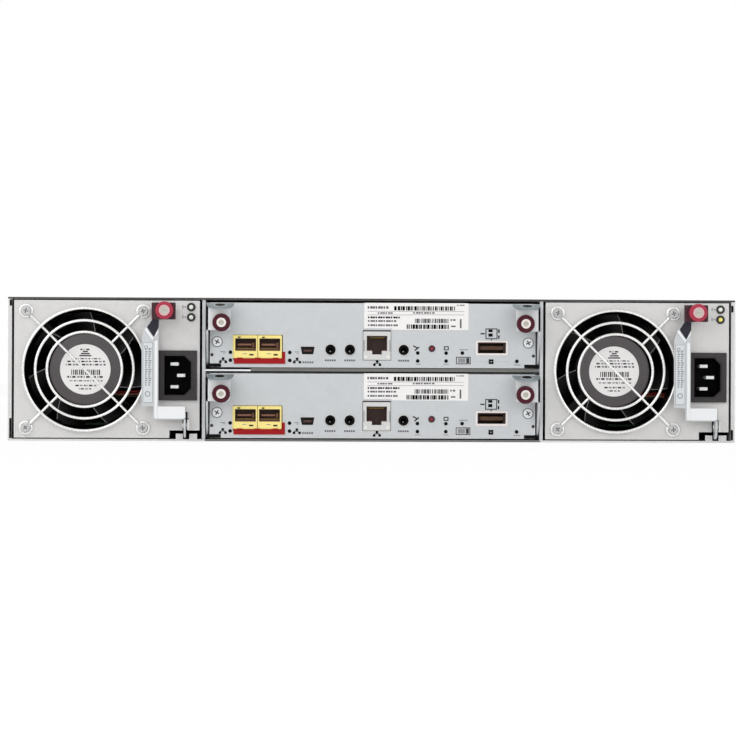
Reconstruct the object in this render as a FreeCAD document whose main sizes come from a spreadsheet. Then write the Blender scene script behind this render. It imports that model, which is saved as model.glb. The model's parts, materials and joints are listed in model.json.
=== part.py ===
import FreeCAD, Part
import math
import os
import re

import Sketcher

# Disk shelf enclosure, 2 rack units high, as a parametric FreeCAD document.
# Millimetres. +Z up, the rear panel faces -Y, the drive bays face +Y, +X is to the right of
# someone who looks at the rear panel. The origin is the centre of the chassis's bottom face.
#
# Each formula below is a string over the aliases of the spreadsheet "Sizes", and is bound to
# the sketches, features and placements with setExpression.

SIZES = {
    # Chassis sheet metal
    "chassis_width": 447.0,
    "chassis_height": 88.0,
    "chassis_depth": 570.0,
    "sheet_metal": 1.2,
    "hem_depth": 12.0,
    "cover_lip_drop": 10.0,
    "cover_lip_thickness": 1.0,
    "cover_lip_inset": 4.0,
    "seat_gap": 0.3,
    # Rack ears, out from each side wall to a 19 inch panel's width; slots two rack units apart
    "ear_width": 17.8,
    "ear_thickness": 1.2,
    "ear_reach": 46.0,
    "ear_slot_from_wall": 9.05,
    "ear_slot_rise": 76.2,
    "ear_slot_radius": 3.4,
    "ear_slot_length": 10.0,
    "ear_corner": 4.0,
    # Drive cage, midplane and carriers
    "cage_depth": 225.0,
    "cage_sheet": 1.2,
    "cage_shelf": 0.8,
    "cage_side": 1.0,
    "cage_side_gap": 1.6,
    "board_thickness": 2.4,
    "board_margin": 1.0,
    "board_vent_width": 70.0,
    "board_vent_height": 9.0,
    "receptacle_width": 40.0,
    "receptacle_height": 6.0,
    "receptacle_depth": 3.2,
    "carrier_side_gap": 0.5,
    "carrier_end_gap": 0.4,
    "bezel_front": 8.0,
    "bezel_back": 4.0,
    "bezel_edge": 1.5,
    "rail_height": 20.0,
    "rail_lift": 2.0,
    "rail_rib": 1.4,
    "drive_width": 101.6,
    "drive_length": 147.0,
    "drive_height": 26.1,
    "drive_cover_step": 1.1,
    "drive_cover_margin": 2.0,
    "grille_slot_width": 5.0,
    "grille_slot_height": 19.0,
    "grille_pitch": 7.6,
    "carrier_lever_length": 66.0,
    "carrier_lever_height": 12.0,
    "carrier_lever_thickness": 4.4,
    "carrier_lever_inset": 9.0,
    "carrier_lever_axis": 5.0,
    # Module bay behind the midplane
    "mating_depth": 14.0,
    "module_setback": 0.6,
    "module_wall": 1.0,
    "divider_thickness": 2.0,
    "shelf_lip": 3.0,
    "shelf_gap": 0.4,
    "connector_width": 60.0,
    "connector_height": 10.0,
    # Power supply, measured from its face's left edge and from the chassis bottom
    "psu_width": 113.4,
    "psu_wall_gap": 1.4,
    "psu_divider_gap": 1.5,
    "psu_end_gap": 0.7,
    "psu_body_inset": 0.5,
    "psu_notch_width": 18.4,
    "psu_notch_height": 6.6,
    "catch_height": 4.6,
    "catch_near": 14.4,
    "catch_slot": 10.1,
    "catch_slot_edge": 6.2,
    "catch_far": 1.4,
    "fan_from_edge": 43.1,
    "fan_drop": 0.2,
    "fan_opening_radius": 37.3,
    "fan_size": 80.0,
    "fan_depth": 38.0,
    "fan_bore": 38.2,
    "fan_screw_pitch": 71.5,
    "fan_strut_width": 5.0,
    "fan_strut_depth": 4.0,
    "fan_strut_end": 39.0,
    "fan_mount_radius": 20.0,
    "rotor_front": 6.0,
    "rotor_depth": 25.0,
    "rotor_hub_radius": 22.2,
    "rotor_tip_radius": 35.4,
    "rotor_wall": 3.0,
    "rotor_blades": 7,
    "blade_depth": 20.0,
    "blade_thickness": 1.8,
    "blade_sweep": 15.0,
    "blade_camber": 2.6,
    "shaft_radius": 1.5,
    "shaft_clearance": 0.05,
    "guard_wire": 1.8,
    "guard_ring_inner": 22.9,
    "guard_ring_middle": 30.0,
    "guard_ring_outer": 37.5,
    "guard_eye_radius": 4.4,
    "inlet_from_edge": 100.0,
    "inlet_rise": 40.3,
    "inlet_flange_width": 22.6,
    "inlet_flange_height": 30.2,
    "inlet_flange_thickness": 2.0,
    "inlet_body_width": 19.6,
    "inlet_body_height": 27.2,
    "inlet_body_depth": 24.0,
    "inlet_cavity_width": 16.3,
    "inlet_cavity_height": 24.0,
    "inlet_cavity_depth": 17.0,
    "inlet_cavity_chamfer": 4.0,
    "inlet_pin_width": 4.0,
    "inlet_pin_height": 2.0,
    "inlet_pin_length": 14.0,
    "inlet_pin_pitch": 14.0,
    "inlet_pin_offset": 2.0,
    "board_rib": 4.0,
    "supply_board_rise": 8.6,
    "supply_board_thickness": 1.6,
    "supply_board_start": 62.0,
    "supply_can_x": 34.0,
    "supply_can_from_end": 218.0,
    "supply_can_radius": 15.0,
    "supply_can_height": 40.0,
    "transformer_x": 20.0,
    "transformer_from_end": 138.0,
    "transformer_width": 38.0,
    "transformer_length": 42.0,
    "transformer_height": 34.0,
    "supply_sink_x": 70.0,
    "supply_sink_from_end": 178.0,
    "supply_sink_width": 34.0,
    "supply_sink_length": 100.0,
    "supply_sink_height": 44.0,
    "sink_base": 4.0,
    "sink_fin": 2.0,
    # Power supply latch
    "latch_standoff": 9.0,
    "latch_sheet": 1.2,
    "latch_arm_inner": 35.1,
    "latch_arm_outer": 24.9,
    "latch_foot": 13.5,
    "latch_foot_left": 28.0,
    "latch_link_top": 21.5,
    "latch_arm_top": 63.0,
    "latch_plate_left": 29.1,
    "latch_plate_right": 14.5,
    "latch_plate_low": 12.4,
    "latch_plate_high": 2.1,
    "latch_grip": 2.0,
    "latch_flange": 8.2,
    "latch_flange_depth": 8.0,
    "latch_pivot_rise": 10.0,
    "latch_pivot_out": 5.0,
    "latch_hook_drop": 7.8,
    "latch_hook_reach": 4.4,
    "latch_screw_from_edge": 21.2,
    "latch_screw_drop": 6.9,
    "pin_radius": 1.5,
    # Thumbscrews
    "screw_head_radius": 5.6,
    "screw_cap_radius": 3.4,
    "screw_head_length": 5.0,
    "screw_cap_proud": 1.0,
    "screw_shank_radius": 1.9,
    # Controller module, measured from the bay's centre line and its face's bottom edge
    "controller_floor_gap": 0.9,
    "controller_top_gap": 1.7,
    "controller_side_gap": 2.7,
    "controller_body_inset": 0.8,
    "controller_body_end": 0.4,
    "logic_board_rise": 3.2,
    "logic_board_thickness": 1.6,
    "logic_board_margin": 2.0,
    "logic_sink_from_end": 178.0,
    "logic_sink_size": 48.0,
    "logic_sink_height": 24.0,
    "memory_x": 50.0,
    "memory_from_end": 208.0,
    "memory_length": 133.0,
    "memory_width": 4.0,
    "memory_height": 24.0,
    "pack_x": 84.0,
    "pack_from_end": 148.0,
    "pack_length": 110.0,
    "pack_width": 40.0,
    "pack_height": 22.0,
    "sfp_left": 85.5,
    "sfp_pitch": 15.05,
    "sfp_width": 14.7,
    "sfp_top": 19.6,
    "sfp_depth": 56.0,
    "sfp_proud": 0.8,
    "sfp_opening_inset": 1.0,
    "sfp_opening_width": 12.1,
    "sfp_opening_low": 10.3,
    "sfp_opening_high": 17.7,
    "sfp_strip_low": 2.0,
    "network_left": 6.0,
    "network_width": 16.9,
    "network_top": 22.7,
    "network_depth": 16.0,
    "network_opening_low": 8.6,
    "network_opening_high": 19.6,
    "network_opening_width": 12.5,
    "network_key_width": 6.0,
    "network_key_height": 2.0,
    "sas_centre": 73.1,
    "sas_width": 19.6,
    "sas_top": 16.6,
    "sas_depth": 20.0,
    "sas_opening_width": 16.6,
    "sas_opening_low": 9.5,
    "sas_opening_high": 15.1,
    "console_centre": 39.95,
    "console_width": 9.6,
    "console_top": 13.4,
    "console_depth": 9.0,
    "console_sill": 3.3,
    "jack_far_left": 26.1,
    "jack_near_left": 14.2,
    "jack_right": 18.9,
    "jack_rise": 11.0,
    "jack_nose_radius": 3.3,
    "jack_block": 8.4,
    "jack_depth": 12.0,
    # Controller levers, measured inward from the bay's side and up from the face's bottom edge
    "lever_sheet": 1.2,
    "lever_side_gap": 0.6,
    "lever_standoff": 9.0,
    "lever_plate_width": 15.5,
    "lever_plate_low": 22.6,
    "lever_plate_high": 39.2,
    "lever_tab_width": 17.6,
    "lever_tab_reach": 10.0,
    "lever_tab_drop": 2.6,
    "lever_tab_corner": 3.0,
    "lever_heel": 6.8,
    "lever_toe": 6.0,
    "lever_pivot_rise": 7.6,
    "lever_pivot_in": 6.0,
    "lever_screw_in": 9.9,
    "lever_screw_rise": 27.2,
}

doc = FreeCAD.newDocument("DiskShelf")
sheet = doc.addObject("Spreadsheet::Sheet", "Sizes")
for row, (alias, value) in enumerate(SIZES.items(), 1):
    sheet.set(f"A{row}", alias)
    sheet.set(f"B{row}", str(value))
    sheet.setAlias(f"B{row}", alias)
doc.recompute()

NODES = {}
CUTS = []

# Places that several pieces share
REAR = "(0 - chassis_depth / 2)"
FRONT = "(chassis_depth / 2)"
HALF_WIDTH = "(chassis_width / 2)"
COVER_UNDER = "(chassis_height - sheet_metal)"
FACE_Y = f"({REAR} + module_setback)"
CAGE_REAR = f"({FRONT} - cage_depth)"
BOARD_REAR = f"({CAGE_REAR} - board_thickness)"
MODULE_DEPTH = f"({BOARD_REAR} - mating_depth - {FACE_Y})"
BAY_HALF = (f"({HALF_WIDTH} - 2 * sheet_metal - psu_wall_gap - psu_width - psu_divider_gap"
            " - divider_thickness)")
CONTROLLER_LOW = "(sheet_metal + controller_floor_gap)"
FACE_HEIGHT = (f"(({COVER_UNDER} - controller_top_gap - shelf_lip - 2 * shelf_gap"
               f" - {CONTROLLER_LOW}) / 2)")
LIP_LOW = f"({CONTROLLER_LOW} + {FACE_HEIGHT} + shelf_gap)"
SHELF_TOP = f"({LIP_LOW} + shelf_lip)"
CONTROLLER_HIGH = f"({SHELF_TOP} + shelf_gap)"
FACE_HALF = f"({BAY_HALF} - controller_side_gap)"
LOGIC_TOP = "(logic_board_rise + logic_board_thickness)"
CAGE_HALF = f"({HALF_WIDTH} - sheet_metal - cage_side_gap)"
CAGE_INNER = f"(2 * {CAGE_HALF} - 2 * cage_side)"
COLUMN_PITCH = f"(({CAGE_INNER} + cage_sheet) / 4)"
ROW_PITCH = f"(({COVER_UNDER} - sheet_metal + cage_shelf) / 3)"
CARRIER_WIDTH = f"({COLUMN_PITCH} - cage_sheet - 2 * carrier_side_gap)"
CARRIER_HEIGHT = f"({ROW_PITCH} - cage_shelf - 2 * carrier_end_gap)"
DRIVE_REAR = "(cage_depth - receptacle_depth - seat_gap)"
PSU_LEFT_X = f"(0 - {HALF_WIDTH} + 2 * sheet_metal + psu_wall_gap)"
PSU_RIGHT_X = f"({BAY_HALF} + divider_thickness + psu_divider_gap)"
PSU_TOP = f"({COVER_UNDER} - psu_end_gap)"
PSU_BOTTOM = "(sheet_metal + psu_end_gap)"
FAN_Z = "(chassis_height / 2 - fan_drop)"
COLUMNS = 4
ROWS = 3

# Sides of the outlines that stand for the rounder pieces
DUCT_SIDES = 32
RING_SIDES = 24
MOUNT_SIDES = 16
KNOB_SIDES = 12
EYE_SIDES = 8
SUPPLY_FINS = 5
LOGIC_FINS = 6

# Plane role, and +1 where the plane's normal points along its world axis
PLANES = {"XY": ("XY_Plane", 1), "XZ": ("XZ_Plane", -1), "YZ": ("YZ_Plane", 1)}


def bound(formula):
    """Prefix the sheet's aliases, so that the formula works on any object of the document."""
    pick = lambda word: f"Sizes.{word.group(0)}" if word.group(0) in SIZES else word.group(0)
    return re.sub(r"[A-Za-z_][A-Za-z_0-9]*", pick, str(formula))


def number(formula):
    """The value of a formula now."""
    return float(sheet.evalExpression(bound(formula)))


def bind(thing, prop, formula):
    thing.setExpression(prop, bound(formula))


def place(thing, x, y, z):
    """Bind the placement of a sub-part."""
    for axis, formula in zip("xyz", (x, y, z)):
        bind(thing, f"Placement.Base.{axis}", formula)


def new_body(name):
    body = doc.addObject("PartDesign::Body", name)
    body.Label = name
    body.AllowCompound = True
    return body


def rectangle(left, low, right, high):
    return ("polygon", [(left, low), (right, low), (right, high), (left, high)])


def polygon(*points):
    return ("polygon", list(points))


def circle(x, z, radius):
    return ("circle", (x, z, radius))


def slot(x, z, length, radius):
    """A round-ended slot along the sketch's first axis."""
    return ("slot", (x, z, length, radius))


def pin_points(sketch, points):
    """Bind points of the sketch, each (geometry, end, x, z), to their formulas."""
    constraints = []
    formulas = []
    for geometry, end, x, z in points:
        for kind, formula in (("DistanceX", x), ("DistanceY", z)):
            constraints.append(Sketcher.Constraint(kind, -1, 1, geometry, end, number(formula)))
            formulas.append(bound(formula))
    for index, formula in zip(sketch.addConstraint(constraints), formulas):
        sketch.setExpression(f"Constraints[{index}]", formula)


def pin_radius(sketch, geometry, radius):
    index = sketch.addConstraint(Sketcher.Constraint("Radius", geometry, number(radius)))
    sketch.setExpression(f"Constraints[{index}]", bound(radius))


def draw_polygon(sketch, points):
    first = sketch.GeometryCount
    spots = [FreeCAD.Vector(number(x), number(z), 0) for x, z in points]
    lines = [Part.LineSegment(spot, following) for spot, following in zip(spots, spots[1:] + spots[:1])]
    sketch.addGeometry(lines, False)
    joins = [Sketcher.Constraint("Coincident", first + step, 2, first + (step + 1) % len(points), 1)
             for step in range(len(points))]
    sketch.addConstraint(joins)
    pin_points(sketch, [(first + step, 1, x, z) for step, (x, z) in enumerate(points)])


def draw_circle(sketch, data):
    x, z, radius = data
    centre = FreeCAD.Vector(number(x), number(z), 0)
    ring = Part.Circle(centre, FreeCAD.Vector(0, 0, 1), number(radius))
    index = sketch.addGeometry(ring, False)
    pin_points(sketch, [(index, 3, x, z)])
    pin_radius(sketch, index, radius)


def draw_slot(sketch, data):
    x, z, length, radius = data
    offset = f"(({length}) / 2 - ({radius}))"
    up = FreeCAD.Vector(0, 0, 1)
    reach = number(radius)
    ends = (f"({x}) - {offset}", f"({x}) + {offset}")
    centres = [FreeCAD.Vector(number(end), number(z), 0) for end in ends]
    turns = ((math.pi / 2, 3 * math.pi / 2), (-math.pi / 2, math.pi / 2))
    arcs = []
    for centre, (start, stop) in zip(centres, turns):
        arc = Part.ArcOfCircle(Part.Circle(centre, up, reach), start, stop)
        arcs.append(sketch.addGeometry(arc, False))
    lift = FreeCAD.Vector(0, reach, 0)
    low = Part.LineSegment(centres[0] - lift, centres[1] - lift)
    high = Part.LineSegment(centres[1] + lift, centres[0] + lift)
    lines = [sketch.addGeometry(line, False) for line in (low, high)]
    joins = ((arcs[0], 2, lines[0], 1), (lines[0], 2, arcs[1], 1),
             (arcs[1], 2, lines[1], 1), (lines[1], 2, arcs[0], 1))
    for join in joins:
        sketch.addConstraint(Sketcher.Constraint("Tangent", *join))
    pin_points(sketch, [(arc, 3, end, z) for arc, end in zip(arcs, ends)])
    pin_radius(sketch, arcs[0], radius)


DRAW = {"polygon": draw_polygon, "circle": draw_circle, "slot": draw_slot}


def origin_feature(body, role):
    return next(part for part in body.Origin.OriginFeatures if part.Role == role)


def new_sketch(body, plane, loops, offset, turn=0):
    """A sketch on an origin plane of its body, moved along the plane's world axis."""
    role, sense = PLANES[plane]
    sketch = body.newObject("Sketcher::SketchObject", f"{body.Name}_sketch")
    sketch.AttachmentSupport = [(origin_feature(body, role), "")]
    sketch.MapMode = "FlatFace"
    spin = FreeCAD.Rotation(FreeCAD.Vector(0, 0, 1), turn)
    sketch.AttachmentOffset = FreeCAD.Placement(FreeCAD.Vector(0, 0, 0), spin)
    bind(sketch, "AttachmentOffset.Base.z", f"{sense} * ({offset})")
    for kind, data in loops:
        DRAW[kind](sketch, data)
    return sketch


def slab(body, plane, loops, low, high, turn=0):
    """Add material over the loops, from low to high along the plane's world axis."""
    start = low if PLANES[plane][1] > 0 else high
    pad = body.newObject("PartDesign::Pad", f"{body.Name}_pad")
    pad.Profile = new_sketch(body, plane, loops, start, turn)
    bind(pad, "Length", f"({high}) - ({low})")
    body.Tip = pad
    return pad


def cut(body, plane, loops, low, high, turn=0):
    """Take material away over the loops, from low to high along the plane's world axis."""
    doc.recompute()
    start = high if PLANES[plane][1] > 0 else low
    before = body.Tip
    pocket = body.newObject("PartDesign::Pocket", f"{body.Name}_pocket")
    pocket.Profile = new_sketch(body, plane, loops, start, turn)
    bind(pocket, "Length", f"({high}) - ({low})")
    body.Tip = pocket
    CUTS.append((pocket, before))
    return pocket


def polar(body, feature, count):
    """Repeat a feature round the body's own Y axis."""
    pattern = body.newObject("PartDesign::PolarPattern", f"{body.Name}_polar")
    pattern.Originals = [feature]
    pattern.Axis = (origin_feature(body, "Y_Axis"), [""])
    pattern.Angle = 360
    bind(pattern, "Occurrences", count)
    body.Tip = pattern
    return pattern


def chamfer(body, size, pick):
    """Chamfer the edges of the body that the test picks."""
    doc.recompute()
    base = body.Tip
    edges = [f"Edge{index}" for index, edge in enumerate(base.Shape.Edges, 1) if pick(edge)]
    feature = body.newObject("PartDesign::Chamfer", f"{body.Name}_chamfer")
    feature.Base = (base, edges)
    bind(feature, "Size", size)
    body.Tip = feature


def along(edge, axis):
    """True for a straight edge along one of the body's axes."""
    ends = [vertex.Point for vertex in edge.Vertexes]
    if edge.Curve.TypeId != "Part::GeomLine" or len(ends) < 2:
        return False
    run = ends[1] - ends[0]
    return abs(abs(run[axis]) - run.Length) < 1e-6


def at(edge, axis, formula, reach=0.01):
    """True for an edge whose middle lies at a place along one axis."""
    return abs(edge.CenterOfMass[axis] - number(formula)) < reach


def node(name, thing):
    thing.Label = name
    NODES[name] = thing
    return thing


def group(name, members, x, y, z):
    """One node that holds several separate solids of the same module."""
    compound = doc.addObject("Part::Compound", name)
    compound.Links = members
    place(compound, x, y, z)
    return node(name, compound)


# ---------------------------------------------------------------- chassis

def build_tub():
    """Bottom and side walls in one bent sheet, with hems and latch catches at the rear."""
    body = new_body("chassis_tub")
    inside = f"({HALF_WIDTH} - sheet_metal)"
    profile = polygon(
        (f"0 - {HALF_WIDTH}", "0"), (HALF_WIDTH, "0"), (HALF_WIDTH, COVER_UNDER),
        (inside, COVER_UNDER), (inside, "sheet_metal"), (f"0 - {inside}", "sheet_metal"),
        (f"0 - {inside}", COVER_UNDER), (f"0 - {HALF_WIDTH}", COVER_UNDER))
    slab(body, "XZ", [profile], REAR, FRONT)
    hem = f"({inside} - sheet_metal)"
    hems = [rectangle(hem, "sheet_metal", inside, COVER_UNDER),
            rectangle(f"0 - {inside}", "sheet_metal", f"0 - {hem}", COVER_UNDER)]
    slab(body, "XZ", hems, REAR, f"{REAR} + hem_depth")
    catches = []
    for left in (PSU_LEFT_X, PSU_RIGHT_X):
        edge = f"({left} + psu_width)"
        catches.append(rectangle(f"{edge} - catch_near", "sheet_metal",
                                 f"{edge} - catch_slot", "catch_height"))
        catches.append(rectangle(f"{edge} - catch_slot_edge", "sheet_metal",
                                 f"{edge} - catch_far", "catch_height"))
    slab(body, "XZ", catches, REAR, f"{REAR} + sheet_metal")
    node("chassis_tub", body)


def build_cover():
    """Flat lid with a lip down the inside of each side wall."""
    body = new_body("top_cover")
    outline = rectangle(f"0 - {HALF_WIDTH}", COVER_UNDER, HALF_WIDTH, "chassis_height")
    slab(body, "XZ", [outline], REAR, FRONT)
    outer = f"({HALF_WIDTH} - sheet_metal - seat_gap)"
    inner = f"({outer} - cover_lip_thickness)"
    low = f"({COVER_UNDER} - cover_lip_drop)"
    lips = [rectangle(inner, low, outer, COVER_UNDER),
            rectangle(f"0 - {outer}", low, f"0 - {inner}", COVER_UNDER)]
    slab(body, "XZ", lips, f"{REAR} + hem_depth + cover_lip_inset", f"{FRONT} - cover_lip_inset")
    node("top_cover", body)


def build_ears():
    """Two angle brackets on the side walls, with round-ended slots for the rack screws."""
    ears = []
    for side, word in ((-1, "left"), (1, "right")):
        body = new_body(f"rack_ear_{word}")
        wall, tip = f"{side} * {HALF_WIDTH}", f"{side} * ({HALF_WIDTH} + ear_width)"
        skin = f"{side} * ({HALF_WIDTH} + ear_thickness)"
        bracket = polygon(
            (wall, f"{FRONT} - ear_reach"), (skin, f"{FRONT} - ear_reach"), (skin, FRONT),
            (tip, FRONT), (tip, f"{FRONT} + ear_thickness"), (wall, f"{FRONT} + ear_thickness"))
        slab(body, "XY", [bracket], "0", "chassis_height")
        slots = [slot(f"{side} * ({HALF_WIDTH} + ear_slot_from_wall)",
                      f"chassis_height / 2 + {sign} * ear_slot_rise / 2",
                      "ear_slot_length", "ear_slot_radius") for sign in (-1, 1)]
        cut(body, "XZ", slots, FRONT, f"{FRONT} + ear_thickness")
        chamfer(body, "ear_corner", lambda edge: along(edge, 1) and at(edge, 0, tip))
        ears.append(body)
    group("rack_ears", ears, "0", "0", "0")


# ---------------------------------------------------------------- front half

def column_x(column):
    return f"({column} - {(COLUMNS - 1) / 2}) * {COLUMN_PITCH}"


def row_z(row):
    return f"(sheet_metal + {row} * {ROW_PITCH})"


def build_cage():
    """Upright dividers, and the plain shelf plates that part the drive bays between them."""
    members = []
    low, high = "sheet_metal", COVER_UNDER
    inner = f"({CAGE_HALF} - cage_side)"
    walls = [(f"0 - {CAGE_HALF}", f"0 - {inner}"), (inner, CAGE_HALF)]
    for step in range(1, COLUMNS):
        centre = f"({step - COLUMNS / 2}) * {COLUMN_PITCH}"
        walls.append((f"{centre} - cage_sheet / 2", f"{centre} + cage_sheet / 2"))
    for number_along, (left, right) in enumerate(walls, 1):
        upright = new_body(f"drive_cage_upright_{number_along}")
        slab(upright, "XZ", [rectangle(left, low, right, high)], CAGE_REAR, FRONT)
        members.append(upright)
    half = f"(({COLUMN_PITCH} - cage_sheet) / 2)"
    for row in range(1, ROWS):
        for column in range(COLUMNS):
            shelf = new_body(f"drive_cage_shelf_{row}_{column + 1}")
            centre = column_x(column)
            plate = rectangle(f"{centre} - {half}", f"{row_z(row)} - cage_shelf",
                              f"{centre} + {half}", row_z(row))
            slab(shelf, "XZ", [plate], CAGE_REAR, FRONT)
            members.append(shelf)
    group("drive_cage", members, "0", "0", "0")


def build_midplane():
    """Circuit board across the chassis, with receptacles for drives and for rear modules."""
    body = new_body("midplane_board")
    half = f"({CAGE_HALF} - cage_side)"
    outline = rectangle(f"0 - {half}", "sheet_metal + board_margin", half,
                        f"{COVER_UNDER} - board_margin")
    slab(body, "XZ", [outline], BOARD_REAR, CAGE_REAR)
    receptacles = []
    vents = []
    for column in range(COLUMNS):
        centre = column_x(column)
        for row in range(ROWS):
            low = f"({row_z(row)} + carrier_end_gap + rail_lift)"
            receptacles.append(rectangle(f"{centre} - receptacle_width / 2", low,
                                         f"{centre} + receptacle_width / 2",
                                         f"{low} + receptacle_height"))
            vents.append(rectangle(f"{centre} - board_vent_width / 2",
                                   f"{low} + receptacle_height + 2 * board_margin",
                                   f"{centre} + board_vent_width / 2",
                                   f"{low} + receptacle_height + 2 * board_margin"
                                   " + board_vent_height"))
    slab(body, "XZ", receptacles, CAGE_REAR, f"{CAGE_REAR} + receptacle_depth")
    cut(body, "XZ", vents, BOARD_REAR, CAGE_REAR)
    spots = [(0, f"{CONTROLLER_LOW} + {LOGIC_TOP}"), (0, f"{CONTROLLER_HIGH} + {LOGIC_TOP}"),
             (f"{PSU_LEFT_X} + psu_width / 2", "supply_board_rise + supply_board_thickness"),
             (f"{PSU_RIGHT_X} + psu_width / 2", "supply_board_rise + supply_board_thickness")]
    blocks = [rectangle(f"{x} - connector_width / 2", z, f"{x} + connector_width / 2",
                        f"{z} + connector_height") for x, z in spots]
    slab(body, "XZ", blocks, f"{BOARD_REAR} - mating_depth + seat_gap", BOARD_REAR)
    node("midplane_board", body)


def build_sled(name):
    """Carrier tray: a bezel with a grille and a lever recess, and two ribbed side rails."""
    body = new_body(f"{name}_sled")
    half = f"({CARRIER_WIDTH} / 2)"
    slab(body, "XZ", [rectangle(f"0 - {half}", "0", half, CARRIER_HEIGHT)],
         "0 - bezel_back", "bezel_front")
    chamfer(body, "bezel_edge", lambda edge: at(edge, 1, "bezel_front"))
    thickness = f"(({CARRIER_WIDTH} - drive_width) / 2)"
    rails = [rectangle(f"0 - {half}", "rail_lift", f"0 - {half} + {thickness}",
                       "rail_lift + rail_height"),
             rectangle(f"{half} - {thickness}", "rail_lift", half, "rail_lift + rail_height")]
    slab(body, "XZ", rails, f"0 - {DRIVE_REAR}", "0 - bezel_back")
    centre = f"({CARRIER_HEIGHT} / 2)"
    slots = [rectangle(f"{half} - {step} * grille_pitch - grille_slot_width - 2 * bezel_edge",
                       f"{centre} - grille_slot_height / 2",
                       f"{half} - {step} * grille_pitch - 2 * bezel_edge",
                       f"{centre} + grille_slot_height / 2") for step in range(3)]
    cut(body, "XZ", slots, "0 - bezel_back", "bezel_front")
    pivot = f"(carrier_lever_inset - {half})"
    reach = "(carrier_lever_thickness / 2 + seat_gap)"
    recess = rectangle(f"{pivot} - {reach}", f"carrier_lever_axis - {reach}",
                       f"{pivot} + carrier_lever_length + 2 * seat_gap", "bezel_front + seat_gap")
    cut(body, "XY", [recess], f"{centre} - carrier_lever_height / 2 - seat_gap",
        f"{centre} + carrier_lever_height / 2 + seat_gap")
    return body


def build_drive(name):
    """3.5 inch disk drive: the casting and its slightly smaller top cover."""
    body = new_body(f"{name}_drive")
    low = "(carrier_end_gap)"
    shoulder = f"({low} + drive_height - drive_cover_step)"
    front = f"(drive_length - {DRIVE_REAR})"
    slab(body, "XY", [rectangle("0 - drive_width / 2", f"0 - {DRIVE_REAR}", "drive_width / 2", front)],
         low, shoulder)
    cover = rectangle("drive_cover_margin - drive_width / 2", f"drive_cover_margin - {DRIVE_REAR}",
                      "drive_width / 2 - drive_cover_margin", f"{front} - drive_cover_margin")
    slab(body, "XY", [cover], shoulder, f"{low} + drive_height")
    return body


def build_carrier_lever(name, x, z):
    """Ejector lever in the bezel: a tapered bar whose end is rounded about the hinge."""
    body = new_body(name)
    half = "(carrier_lever_thickness / 2)"
    heel = []
    for step in range(EYE_SIDES - 1):
        angle = math.pi * (1 / 2 + step / (EYE_SIDES - 2))
        heel.append((f"{half} * ({math.cos(angle):.6f})", f"{half} * ({math.sin(angle):.6f})"))
    bar = polygon(*heel, ("carrier_lever_length", f"0 - {half}"),
                  ("carrier_lever_length", f"{half} - bezel_edge"),
                  ("carrier_lever_length - 4 * bezel_edge", half))
    slab(body, "XY", [bar], "0 - carrier_lever_height / 2", "carrier_lever_height / 2")
    place(body, x, f"{FRONT} + carrier_lever_axis", z)
    node(name, body)


def build_disks():
    for row in range(ROWS):
        for column in range(COLUMNS):
            name = f"disk_{row * COLUMNS + column + 1}"
            x, z = column_x(column), f"({row_z(row)} + carrier_end_gap)"
            group(f"{name}_carrier", [build_sled(name), build_drive(name)], x, FRONT, z)
            build_carrier_lever(f"{name}_lever", f"{x} - {CARRIER_WIDTH} / 2 + carrier_lever_inset",
                                f"{z} + {CARRIER_HEIGHT} / 2")


# ---------------------------------------------------------------- module bay

def build_bay_frame():
    """Two dividers and the shelf between the controller modules."""
    body = new_body("module_bay_frame")
    near = f"({REAR} + sheet_metal)"
    outer = f"({BAY_HALF} + divider_thickness)"
    walls = [rectangle(BAY_HALF, "sheet_metal", outer, COVER_UNDER),
             rectangle(f"0 - {outer}", "sheet_metal", f"0 - {BAY_HALF}", COVER_UNDER)]
    slab(body, "XZ", walls, near, BOARD_REAR)
    shelf = rectangle(f"0 - {outer}", f"{SHELF_TOP} - sheet_metal", outer, SHELF_TOP)
    slab(body, "XZ", [shelf], near, f"{BOARD_REAR} - mating_depth")
    lip = rectangle(f"0 - {outer}", LIP_LOW, outer, SHELF_TOP)
    slab(body, "XZ", [lip], near, f"{near} + sheet_metal")
    node("module_bay_frame", body)


# ---------------------------------------------------------------- power supply

def from_edge(alias):
    """A distance from the right edge of the supply's face."""
    return f"(psu_width - {alias})"


def psu_outline(inset):
    """Face outline with the stepped lower right corner, shrunk by an inset."""
    return polygon(
        (inset, f"{PSU_BOTTOM} + {inset}"),
        (f"psu_width - psu_notch_width - {inset}", f"{PSU_BOTTOM} + {inset}"),
        (f"psu_width - psu_notch_width - {inset}", f"psu_notch_height + {inset}"),
        (f"psu_width - {inset}", f"psu_notch_height + {inset}"),
        (f"psu_width - {inset}", f"{PSU_TOP} - {inset}"), (inset, f"{PSU_TOP} - {inset}"))


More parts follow.
